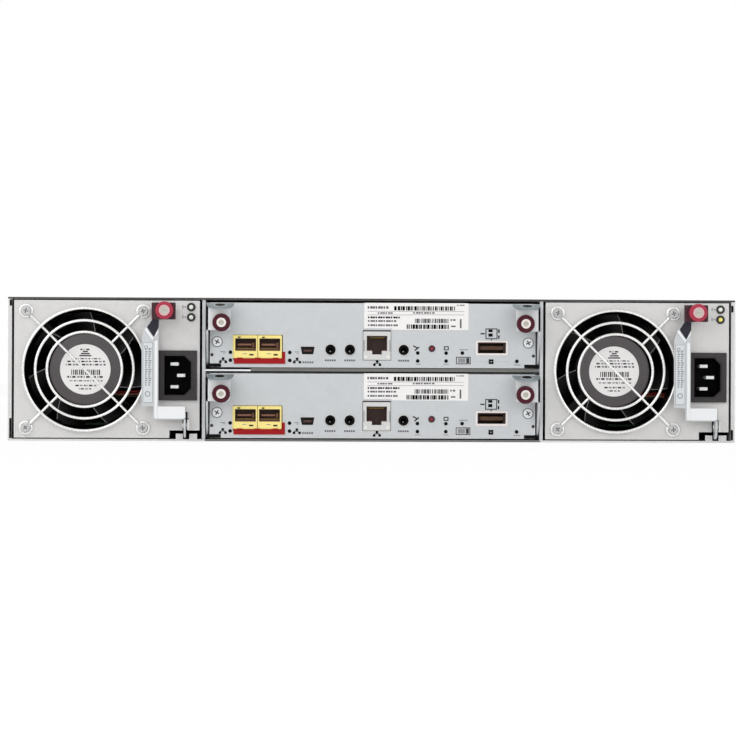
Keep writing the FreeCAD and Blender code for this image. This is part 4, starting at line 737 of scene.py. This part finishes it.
def build_marks(name, place):
    """Lamp windows, small icons and bars of ink on the controller's faceplate, and a painted shadow round
    each face screw.
    """
    mesh = bmesh.new()
    window = [(0, 0.05), (1.15, 0.05), (1.15, -0.12), (0.8, -0.2), (0, -0.2)]
    pairs = [(x, z) for x in (-87.5, -51.1, 27.5, 45) for z in (9.2, 4.3)]
    for x, z in (*pairs, (55, 9.3), (88.6, 4.3)):
        lathe(mesh, window, (x, 0, z), 16, paint=2)
    for x in (-92, -46.6):
        icon_arrows(mesh, x, 4.1)
        mark(mesh, x - 1.6, 9.3, x + 1.4, 9.8, 1)
        mark(mesh, x - 0.2, 8.5, x + 1.8, 8.9, 1)
    icon_arrows(mesh, 2.6, 2.7)
    for x, low in ((-39.9, 2.6), (-26.1, 3.9), (-14.2, 3.9), (18.9, 3.9)):
        for step in range(5):
            left = x - 3.4 + step * 1.4
            mark(mesh, left, low, left + 1, low + 1.1, 3)
    for left in (-101.9, 93.2):
        mark(mesh, left, 0.1, left + 8.7, 2.3, 2)
    for x, z, turn in ((27, 11.8, 0.7), (26.2, 12.8, -0.5)):
        stroke = [spin(a, b, turn) for a, b in oblong(-1.8, -0.4, 1.8, 0.4)]
        prism(mesh, [[(x + a, z + b) for a, b in stroke]], -INK_LIFT, 0)
    mark(mesh, 43.6, 10.9, 46.6, 13.4, line=0.6)
    for step in range(3):
        for left in (43.6 + step * 1.1, 26.2 + step * 1.1):
            mark(mesh, left, 1.9, left + 0.7, 2.6, 1)
    mark(mesh, 51.1, 2.4, 60.1, 6.9, line=0.5)
    mark(mesh, 52.4, 3.3, 56.8, 6, 1)
    block(mesh, 57.4, 3.1, 59.2, 6.2, -2 * INK_LIFT, 0)
    mark(mesh, 53.2, 11, 58.4, 11.6, 1)
    block(mesh, 71.3, 2.6, 74.2, 5.5, -0.22, 0, 2, holes=[oblong(72.3, 3.8, 73.3, 4.3)])
    bars = ((66.2, 20.8, 2.6, 0.8), (71, 19.4, 2.6, 2), (71, 22.2, 2.6, 1.6), (77, 21.8, 0.9, 2.2),
            (77, 18.2, 0.9, 2), (72.4, 16.9, 1, 0.8))
    for x, z, wide, tall in bars:
        mark(mesh, x, z, x + wide, z + tall, 2)
    mark(mesh, 69.2, 17.9, 76.6, 24.5, line=0.6)
    mark(mesh, 86.8, 1.8, 90.8, 2.4, 1)
    for x in (-98.8, 98.8):
        prism(mesh, [disc(1, 14, x, 7.6)], -0.15, 0)
    # A dark ring round each face screw's head: a painted shadow.
    for x in (-FACE_SCREW_X, FACE_SCREW_X):
        prism(mesh, [disc(3.35, 28, x, FACE_SCREW_Z), disc(2.85, 28, x, FACE_SCREW_Z)],
              -0.1, 0, paint=3)
    piece(f"{name}_marks", mesh, place, name, [DARK_INK_AND_SHADE, FADED, PITCH, MID_INK_AND_SHADE], smooth=30)


def build_face_screws(name, place):
    """The two screws that hold the faceplate."""
    mesh = bmesh.new()
    for side in (-1, 1):
        pan_head(mesh, side * FACE_SCREW_X, FACE_SCREW_Z, 2.9, 1.5, 0.5 * side)
    piece(f"{name}_face_screws", mesh, place, name, [PALE_ZINC_AND_HIGHLIGHT, DARK_INK_AND_SHADE], bevel=0.12)


def build_face_label(name, place):
    """Bare label with bars of a code, rules and dashes in place of any text."""
    mesh = bmesh.new()
    sticker = [(-5.5, 24.2), (11.8, 24.2), (11.8, 23.4), (58.7, 23.4), (58.7, 39.9), (-5.5, 39.9)]
    top = -0.12
    prism(mesh, [rounded(sticker, 0.4)], top, 0)
    rng = random.Random(11)
    codes = ((12.9, 50.6, 35.3, 2.6, 1), (25.7, 46.4, 27.6, 2.7, 3), (20.7, 46.6, 24, 2.7, 1))
    for left, right, z, tall, paint in codes:
        x = left
        while x < right:
            wide = rng.choice((0.5, 0.7, 1.1, 1.5))
            mark(mesh, x, z, min(x + wide, right), z + tall, paint, top)
            x += wide + rng.choice((0.3, 0.4, 0.7))
    lines = ((-3.4, 56, 34.6, 0.25, 2), (-3.4, 24, 32.4, 0.25, 2), (24, 56, 32.6, 0.25, 2),
             (-3.4, 9.6, 36.3, 1.5, 3), (2.8, 12.4, 33.2, 0.9, 3), (24.6, 38, 33.4, 0.9, 3),
             (-3.2, 17, 30.4, 1.1, 1), (-3.2, 14.4, 28.2, 1.1, 3), (-3.2, 15.6, 25.6, 1.1, 3),
             (53.4, 54.4, 24.6, 5.6, 3), (47.6, 50.8, 29, 1.1, 3), (51.6, 56.6, 38.2, 0.8, 2),
             (48, 50.8, 25.2, 0.9, 3))
    for left, right, z, tall, paint in lines:
        steps = 1 if tall < 0.5 else max(1, int((right - left) / 1.5))
        run = (right - left) / steps
        for step in range(steps):
            x = left + step * run
            share = 1 if steps == 1 else 0.6 + (step * 5 % 3) * 0.15
            mark(mesh, x, z, x + run * share, z + tall, paint, top)
    piece(f"{name}_face_label", mesh, place, name, [PAPER, PITCH, FADED, MID_INK_AND_SHADE], smooth=30)


def build_cages(name, place):
    """Two host-port cages side by side, with their tabs, slots and contacts."""
    mesh = bmesh.new()
    wide = 14.7
    for left in (-85.5, -70.7):
        inner, outer = left + 1.1, left + wide - 1.2
        mouth = oblong(inner, 10.3, outer, 17.5)
        block(mesh, left, 5.6, left + wide, 19.6, -0.8, 1.2, soft=0.4, holes=[mouth])
        block(mesh, left + 0.4, 6.2, left + wide - 0.4, 19.2, 1.2, 52, holes=[mouth])
        # The cage's inside and the frame round its mouth are painted brown as shade.
        prism(mesh, [mouth], 12, 52, paint=3)
        block(mesh, inner - 0.2, 10.1, outer + 0.2, 17.7, -0.9, -0.8, 3, holes=[mouth])
        block(mesh, left + 2.6, 18, left + 4.2, 18.8, -1.3, -0.8, 1)
        block(mesh, left + 2.4, 18.6, left + 11.6, 19, -1.1, -0.8, soft=0.1)
        block(mesh, left + 0.7, 6.2, left + 14, 9.4, -1.2, -0.8, soft=0.3)
        block(mesh, left + 5.4, 8.1, left + 8, 8.5, -1.3, -1.2, 2)
        block(mesh, left + 9.6, 7.2, left + 12.2, 8.2, -1.35, -1.2, 1, soft=0.2)
        block(mesh, inner, 10.3, outer, 11.6, 1, 14, 3)
        block(mesh, inner + 0.8, 11.6, outer - 0.8, 11.8, 1, 12, 5)
        block(mesh, inner + 1.2, 13.4, outer - 2.6, 14.5, 4, 4.6, 4)
        block(mesh, outer - 2.2, 12.4, outer - 0.8, 15.2, 6, 6.6, 4)
        # Dark brown strip along the inside top of the mouth: painted shade.
        block(mesh, inner, 17.3, outer, 17.5, 1, 20, 1)
    # A brown line between the cages: painted shade in the gap.
    block(mesh, -70.9, 5.7, -70.6, 19.5, -0.85, -0.8, 3)
    block(mesh, -86, 5.7, -85.6, 19.5, -0.6, 0)
    made = piece(f"{name}_module_cages", mesh, place, name, [YELLOW, DARK_BROWN_AND_HOLLOW_SHADE, FADED, BROWN_SHADE_AND_REFLECTION, CLAY, COPPER],
                 bevel=0.15)
    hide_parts(f"{name}_ports")


def build_gasket(name, place):
    """The red strip that the cages stand on."""
    mesh = bmesh.new()
    block(mesh, -85.4, 2.2, -53.9, 5.5, -0.8, 0, soft=0.4)
    block(mesh, -55.6, 5.5, -53.9, 9.6, -0.5, 0)
    for step in range(3):
        block(mesh, -83.5 + 11 * step, 4.8, -80 + 11 * step, 5.9, -1.1, -0.8)
    piece(f"{name}_gasket", mesh, place, name, [RED], bevel=0.2, slot="maroon_plastic")


def build_network_socket(name, place):
    """Eight-contact network socket with a clear lamp on each side under its mouth."""
    mesh = bmesh.new()
    left, wide = -6, 16.9
    centre = left + wide / 2
    half = [(6.3, 19.6), (6.3, 10.4), (3, 10.4), (3, 8.2)]
    mouth = [(centre - x, z) for x, z in half] + [(centre + x, z) for x, z in half[::-1]]
    block(mesh, left, 4.8, left + wide, 22.4, -0.4, 1.2, soft=0.5, holes=[mouth])
    block(mesh, left + 0.4, 5, left + wide - 0.4, 22.3, 1.2, 14, holes=[mouth])
    block(mesh, left, 22.3, left + wide, 23.1, -0.5, 0, 1)
    # The mouth's back is painted brown as shade.
    prism(mesh, [mouth], 12, 14, paint=5)
    for step in range(8):
        x = centre - 4.2 + step * 1.2
        block(mesh, x - 0.22, 18.2, x + 0.22, 19.3, 2, 11, 2)
    block(mesh, centre - 6.3, 18.9, centre + 6.3, 19.6, 1, 12, 1)
    for step_x in (centre - 6.3, centre + 3):
        block(mesh, step_x, 10.4, step_x + 3.3, 11.2, 1, 12, 5)
    for side in (-1, 1):
        lamp_x, rib_x = centre + side * 6.8, centre + side * 7.9
        block(mesh, lamp_x - 0.9, 6, lamp_x + 0.9, 7.4, -0.55, -0.4, 3)
        block(mesh, rib_x - 0.25, 10, rib_x + 0.25, 17, -0.6, -0.4, 4)
    piece(f"{name}_network_socket", mesh, place, name, [SHEET, BLACK, COPPER, LENS, FADED, BROWN_SHADE_AND_REFLECTION],
          bevel=0.12)


def build_expansion_port(name, place):
    """Disk expansion socket: a tongue with a row of contacts on each side."""
    mesh = bmesh.new()
    mouth = oblong(64.5, 9.2, 81.9, 15.9)
    block(mesh, 62.8, 4.1, 83.4, 17.1, -0.15, 0.6, 4, holes=[mouth])
    block(mesh, 63.3, 7.9, 83, 16.9, -0.5, 1.2, soft=0.6, holes=[mouth])
    block(mesh, 63.6, 8.3, 82.6, 16.6, 1.2, 18, holes=[mouth])
    # The mouth's back and sides are painted dark brown as shade.
    prism(mesh, [mouth], 14, 18, paint=1)
    # The tongue is painted brown as a reflection.
    block(mesh, 65.8, 11.6, 80.4, 13.4, 2, 14, 2)
    block(mesh, 64.5, 9.2, 65.4, 15.9, 0.5, 12, 1)
    block(mesh, 80.4, 9.2, 81.9, 15.9, 3, 12, 1)
    block(mesh, 65.4, 15.2, 80.4, 15.9, 1, 12, 2)
    for step in range(13):
        x = 66.9 + step * 1.05
        for low in (13.4, 11.3):
            block(mesh, x - 0.24, low, x + 0.24, low + 0.3, 2.2, 12, 3)
    piece(f"{name}_expansion_port", mesh, place, name, [BLUSH, DARK_BROWN_AND_HOLLOW_SHADE, BROWN_SHADE_AND_REFLECTION, COPPER, SHEET_COOL],
          bevel=0.12)


def build_console_port(name, place):
    """Small console socket with a tapered mouth."""
    mesh = bmesh.new()
    mouth = rounded([(-44.5, 12.8), (-43.6, 8.1), (-36.7, 8.1), (-35.8, 12.8)], 0.5)
    block(mesh, -45.5, 4.1, -34.4, 14.1, -0.15, 0.6, holes=[mouth])
    block(mesh, -45, 7.4, -35.2, 13.4, 0.6, 8, holes=[mouth])
    # The mouth's back is painted dark brown as shade.
    prism(mesh, [mouth], 5, 8, paint=1)
    # The tongue is painted brown as a reflection.
    block(mesh, -42.6, 9.7, -37.6, 11, 0.6, 5, 2)
    piece(f"{name}_console_port", mesh, place, name, [SHEET_COOL, DARK_BROWN_AND_HOLLOW_SHADE, BROWN_SHADE_AND_REFLECTION], bevel=0.12)


def build_jacks(name, place):
    """Three round jacks: a rim, a dark barrel and a pin."""
    mesh = bmesh.new()
    for x in (-26.1, -14.2, 18.9):
        lathe(mesh, [(3.8, 0), (3.8, -0.25), (3.6, -0.5), (3.3, -0.55), (3.15, -0.35), (3.15, 0.1)],
              (x, 0, 11), 32)
        lathe(mesh, [(0, 6.4), (3.15, 6.4), (3.15, -0.3), (2.6, -0.38), (1.8, -0.38), (1.7, 0),
                     (1.7, 6), (0, 6)], (x, 0, 11), 28, paint=1)
        lathe(mesh, [(0, 3.4), (0.5, 3.6), (0.5, 6.2), (0, 6.2)], (x - 0.1, 0, 10), 10, paint=2)
    piece(f"{name}_jacks", mesh, place, name, [SHEET, PITCH, BRIGHT], smooth=40, slot="black_plastic")


def build_service_ring(name, place):
    """Rim and cover of the closed service opening."""
    mesh = bmesh.new()
    centre = (36.2, 0, 11.9)
    lathe(mesh, [(2.1, 0), (2.1, -0.35), (1.8, -0.5), (0.9, -0.5), (0.75, -0.2), (0.75, 0)], centre, 24)
    lathe(mesh, [(0, 0.05), (0.85, 0.05), (0.85, -0.1), (0, -0.1)], centre, 20, paint=1)
    piece(f"{name}_service_ring", mesh, place, name, [GRIP, ROSE], smooth=40, slot="maroon_plastic")


TAB_REACH = 17
TAB_SLOPE = 0.256


def build_lever(name, word, side):
    """Ejector lever: its arm and its screw plate."""
    node = f"{name}_{word}_lever"
    low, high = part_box(node)
    wall = low.x if side < 0 else high.x
    place = Vector((wall, FACE_Y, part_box(f"{name}_case")[0].z))
    mesh = bmesh.new()
    arm = [(-9, 39.2), (-9, 20.2), (3, 0.8), (9, 0.8), (12, 4.6), (12, 10.6), (0, 20.2), (-7.8, 39.2)]
    inner, outer = sorted((0, -side * SHEET_METAL))
    prism(mesh, [rounded(arm, [0.3, 1.5, 1.0, 1.0, 1.0, 1.5, 2.0, 0.3]), disc(1.56, 20, 6, 7.6)],
          inner, outer, axis=0)
    left, right = sorted((0, -side * 14.9))
    radii = [0.3, 1.8, 0.3, 0.3] if side < 0 else [1.8, 0.3, 0.3, 0.3]
    block(mesh, left, 22.6, right, 39.2, -9, -7.8, 1, radii, [disc(2, 20, -side * 9.3, 27.2)])
    made = piece(f"{name}_{word}_lever_sheet", mesh, place, f"{node}_body", [SHEET_COOL, PALE_ZINC_AND_HIGHLIGHT], bevel=0.3)
    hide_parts(node)
    build_lever_tab(node, place, side)
    thumbscrew(f"{name}_{word}", [MAROON, BLUSH], 2.9, 1.7)


def build_lever_tab(node, place, side):
    """The lever's finger tab: a sloping sheet, narrower towards its end, its blue-grey a painted reflection,
    with a ringed hole whose middle is a black disc painted as shade.
    """
    mesh = bmesh.new()
    rows = ((-8.4, 39.1), (-9.2, 39.1), (-12, 38.4), (-15.5, 37.5), (-19, 36.6))
    columns = 12
    skins = []
    for lift in (0, -1.1):
        skin = []
        for index, (level, rise) in enumerate(rows):
            inset = 3 * (index / (len(rows) - 1)) ** 3
            across = [-side * (inset + (TAB_REACH - 2 * inset) * column / columns)
                      for column in range(columns + 1)]
            skin.append([mesh.verts.new((x, level, rise + lift)) for x in across])
        skins.append(skin)
    last = len(rows) - 1
    for skin in skins:
        for row in range(last):
            for column in range(columns):
                mesh.faces.new((skin[row][column], skin[row][column + 1], skin[row + 1][column + 1],
                                skin[row + 1][column]))
    border = [(0, column) for column in range(columns)] + [(row, columns) for row in range(last)]
    border += [(last, column) for column in range(columns, 0, -1)] + [(row, 0) for row in range(last, 0, -1)]
    upper, lower = skins
    for (row, column), (next_row, next_column) in zip(border, border[1:] + border[:1]):
        mesh.faces.new((upper[row][column], upper[next_row][next_column],
                        lower[next_row][next_column], lower[row][column]))
    # A pale ring, and a pitch-black disc inside it painted as the shade in the hole.
    for radius, lift, paint in ((3.9, 0.05, 1), (3.5, 0.1, 2)):
        ring = disc(radius, 24, -side * TAB_REACH / 2, -13.9)
        levels = []
        for drop in (lift, -1.2):
            levels.append([mesh.verts.new((x, y, 39.1 + TAB_SLOPE * (y + 9.2) + drop)) for x, y in ring])
        upper, lower = levels
        walls = [(upper[step], upper[(step + 1) % 24], lower[(step + 1) % 24], lower[step])
                 for step in range(24)]
        for corners in (upper, lower[::-1], *walls):
            mesh.faces.new(corners).material_index = paint
    piece(f"{node}_tab", mesh, place, f"{node}_body", [TAB_BLUE_REFLECTION, PALE_ZINC_AND_HIGHLIGHT, PITCH], bevel=0.25)


def build_controller(name):
    """One controller module with all that it carries."""
    place = on_face(f"{name}_case")
    place.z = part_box(f"{name}_case")[0].z
    carried(f"{name}_case", [SHEET_COOL], worn=PALE_ZINC_AND_HIGHLIGHT)
    for build in (build_marks, build_face_screws, build_face_label, build_cages, build_gasket,
                  build_network_socket, build_expansion_port, build_console_port, build_jacks,
                  build_service_ring):
        build(name, place)
    build_lever(name, "left", -1)
    build_lever(name, "right", 1)


# ---------------- the rest of the chassis

def build_chassis():
    """The chassis's sheets, ears, cage and midplane. The rear edges of the tub's bottom and of the top cover
    are painted dark as shade.
    """
    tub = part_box("chassis_tub")[0] / MM
    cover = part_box("top_cover")[0] / MM
    board_low, board_high = [corner.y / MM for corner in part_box("midplane_board")]
    # Painted shade: the rear faces along the tub's bottom and along the cover take the dark finish.
    carried("chassis_tub", [SHEET, EDGE_SHADE], 0.25, worn=PALE_ZINC_AND_HIGHLIGHT,
            chooser=lambda centre: int(centre.y < tub.y + 0.3 and centre.z < tub.z + 3))
    carried("top_cover", [SHEET, EDGE_SHADE], 0.25, chooser=lambda centre: int(centre.y < cover.y + 0.3))
    carried("module_bay_frame", [SHEET_COOL], worn=PALE_ZINC_AND_HIGHLIGHT)
    carried("rack_ears", [PAINT], 0.25, slot="dark_paint")
    carried("drive_cage", [SHEET], worn=PALE_ZINC_AND_HIGHLIGHT)
    carried("midplane_board", [BOARD, BLACK], 0.15, slot="circuit_board",
            chooser=lambda centre: int(not board_low + 8 < centre.y < board_high - 3.3))


def build_edge_shades():
    """Lips and seams along the shelf between the controllers and along the tub's rear edge, painted grey and
    black as the shade in and beside the gaps, with one pale strip on the lip's left end.
    """
    mesh = bmesh.new()
    # Grey band and black lines along the shelf: painted shade.
    lips = ((-75, 1.4, 102.7, 3.4, -0.15, 0), (-75, 0.5, 102.7, 1.4, -0.1, 1),
            (-102.7, 1.4, -75, 2.5, -0.15, 2), (-102.7, 2.5, -75, 3.4, -0.1, 1),
            (-102.7, 0.5, -75, 1.4, -0.1, 1))
    for left, low, right, high, near, paint in lips:
        block(mesh, left, low, right, high, near, 0.1, paint)
    place = Vector((0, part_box("module_bay_frame")[0].y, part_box("controller_b_case")[1].z))
    piece("shelf_edge_shade", mesh, place, "chassis", [SHADE_GREY, PITCH, PALE_ZINC_AND_HIGHLIGHT], smooth=30)
    rear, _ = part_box("chassis_tub")
    mesh = bmesh.new()
    # Grey strip along the tub's bottom edge and black notches at its corners: painted shade.
    block(mesh, -103, 0.1, 103, 1.15, -0.1, 0.1)
    for side, spans in ((-1, ((1.6, 13.8), (82.6, 86.4))), (1, ((1.6, 8), (80.6, 84.6)))):
        left, right = sorted((side * 222.4, side * 221.1))
        for bottom, top in spans:
            block(mesh, left, bottom, right, top, -0.1, 0.1, 1)
    piece("rear_edge_shade", mesh, Vector((0, rear.y, rear.z)), "chassis", [SHADE_GREY, PITCH], smooth=30)


def build_cover_screws():
    """Nine flat screws in the top cover, sunk level with it."""
    low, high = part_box("top_cover")
    width, depth = (high.x - low.x) / MM, (high.y - low.y) / MM
    mesh = bmesh.new()
    for x in (12, width / 2, width - 12):
        for y in (10, depth / 2, depth - 10):
            sunk = cross(1.7, 0.7, x, y, 0.4)
            prism(mesh, [disc(2.9, 20, x, y), sunk], -0.5, 0, axis=2)
            # The floor of each sunk cross is painted dark as shade.
            prism(mesh, [sunk], -0.5, -0.3, axis=2, paint=1)
    piece("cover_screws", mesh, Vector((low.x, low.y, high.z)), "chassis", [STEEL, DARK_INK_AND_SHADE], bevel=0.1)


def build_boards():
    """The circuit boards inside: a green board with dark parts standing on it."""
    nodes = ("psu_left_power_board", "psu_right_power_board", "controller_a_board",
             "controller_b_board")
    for node in nodes:
        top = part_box(node)[0].z / MM + 1.7
        carried(node, [BOARD, DARK], chooser=lambda centre: int(centre.z >= top), slot="circuit_board")


def build_disk(number):
    """One disk carrier with its two lamps, and its lever with a button."""
    carrier, lever = f"disk_{number}_carrier", f"disk_{number}_lever"
    low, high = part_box(carrier)
    width = (high.x - low.x) / MM
    bezel_back = high.y / MM - 12.5
    bezel = carried(carrier, [DARK, CASTING], 0.3, chooser=lambda centre: int(centre.y <= bezel_back),
                    slot="dark_plastic")
    # The bezel's face stands back a hair, so its lamps show on it and stay within the CAD box.
    for point in bezel.data.vertices:
        if point.co.y > high.y - 0.01 * MM:
            point.co.y -= 0.06 * MM
    carried(lever, [BLACK], 0.3, slot="black_plastic")
    mesh = bmesh.new()
    for step, z in enumerate((18.5, 14)):
        block(mesh, width - 31.5, z, width - 28.9, z + 1.6, -0.2, 0, step, 0.5)
    piece(f"disk_{number}_lamps", mesh, Vector((low.x, high.y, low.z)), f"{carrier}_body", [LENS, AMBER],
          bevel=0.1, slot="dark_plastic")
    low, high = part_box(lever)
    z, length = (high.z - low.z) / MM / 2, (high.x - low.x) / MM
    mesh = bmesh.new()
    block(mesh, length - 12, z - 4, length - 4.5, z + 4, -0.2, 0.55, soft=1.2)
    piece(f"disk_{number}_lever_button", mesh, Vector((low.x, high.y, low.z)), f"{lever}_body", [MAROON],
          bevel=0.3, slot="maroon_plastic")


# ---------------- floor, light and camera

def white_to_rays(tree, others, share, plain, white, output):
    """End a tree with a share of white for the camera's rays and for others, and plain elsewhere."""
    rays = added(tree, "LightPath").outputs
    seen = added(tree, "Math", {0: rays["Is Camera Ray"], 1: rays[others]}, operation="MAXIMUM")
    scaled = added(tree, "Math", {0: seen.outputs[0], 1: share}, operation="MULTIPLY")
    mix = added(tree, "MixShader", {0: scaled.outputs[0], 1: plain.outputs[0], 2: white.outputs[0]})
    added(tree, output, {"Surface": mix.outputs[0]})


def build_floor():
    """A large floor that shows white and takes soft shadows."""
    mesh = bpy.data.meshes.new("floor")
    size, level = 6, -0.0002
    mesh.from_pydata([(x, y, level) for x, y in oblong(-size, -size, size, size)], [], [(0, 1, 2, 3)])
    floor = bpy.data.objects.new("floor", mesh)
    SCENE.collection.objects.link(floor)
    made = bpy.data.materials.new("white_floor")
    made.use_nodes = True
    tree = made.node_tree
    tree.nodes.clear()
    matt = added(tree, "BsdfDiffuse", {"Color": (0.9, 0.9, 0.9, 1)})
    white_to_rays(tree, "Is Glossy Ray", 0.93, matt, added(tree, "Emission"), "OutputMaterial")
    mesh.materials.append(made)


def build_world(ambient):
    """An even light, white to the camera and through clear pieces."""
    world = bpy.data.worlds.new("studio")
    SCENE.world = world
    world.use_nodes = True
    tree = world.node_tree
    tree.nodes.clear()
    lights = [added(tree, "Background", {"Color": (1, 1, 1, 1), "Strength": strength})
              for strength in (ambient, 1)]
    white_to_rays(tree, "Is Transmission Ray", 1, *lights, "OutputWorld")


def lamp(name, place, aim, size, power):
    """A soft rectangular lamp that looks at aim."""
    data = bpy.data.lights.new(name, "AREA")
    data.shape = "RECTANGLE"
    data.size, data.size_y = size
    data.energy = power
    made = bpy.data.objects.new(name, data)
    SCENE.collection.objects.link(made)
    made.location = place
    made.rotation_euler = (Vector(aim) - Vector(place)).to_track_quat("-Z", "Y").to_euler()


def build_camera():
    """Nearly head-on to the rear panel, at the height of its middle, a little to its left."""
    low, high = CAD_BOX
    face = Vector((0, FACE_Y, (low.z + high.z) / 2))
    distance, azimuth, roll = 1.75, math.radians(-2), math.radians(0.24)
    sensor, seen_width = 36, 0.4522
    place = face + Vector((math.sin(azimuth), -math.cos(azimuth), 0)) * distance
    data = bpy.data.cameras.new("camera")
    data.sensor_width = sensor
    data.lens = sensor * distance / seen_width
    data.shift_x, data.shift_y = -0.0067, 0.003
    data.clip_end = 50
    camera = bpy.data.objects.new("camera", data)
    SCENE.collection.objects.link(camera)
    camera.location = place
    turn = (face - place).to_track_quat("-Z", "Y").to_matrix() @ Matrix.Rotation(roll, 3, "Z")
    camera.rotation_euler = turn.to_euler()
    SCENE.camera = camera


build_camera()
build_floor()
build_world(0.54)
lamp("key", (-1.1, -1.2, 0.8), (-0.1, -0.28, 0.05), (2.6, 1.35), 19.5)
lamp("fill", (1.4, -1.6, 0.7), (0, -0.28, 0.05), (2.2, 1.2), 12.5)
lamp("back", (0.3, 2.3, 1.1), (0, 0.28, 0.05), (2.4, 1.2), 14)
SCENE.view_settings.view_transform = "Standard"

build_chassis()
build_edge_shades()
build_cover_screws()
build_psu("psu_left", (LENS, LENS))
build_psu("psu_right", (LENS, AMBER))
build_controller("controller_a")
build_controller("controller_b")
build_boards()
for number in range(1, 13):
    build_disk(number)

bpy.context.view_layer.update()
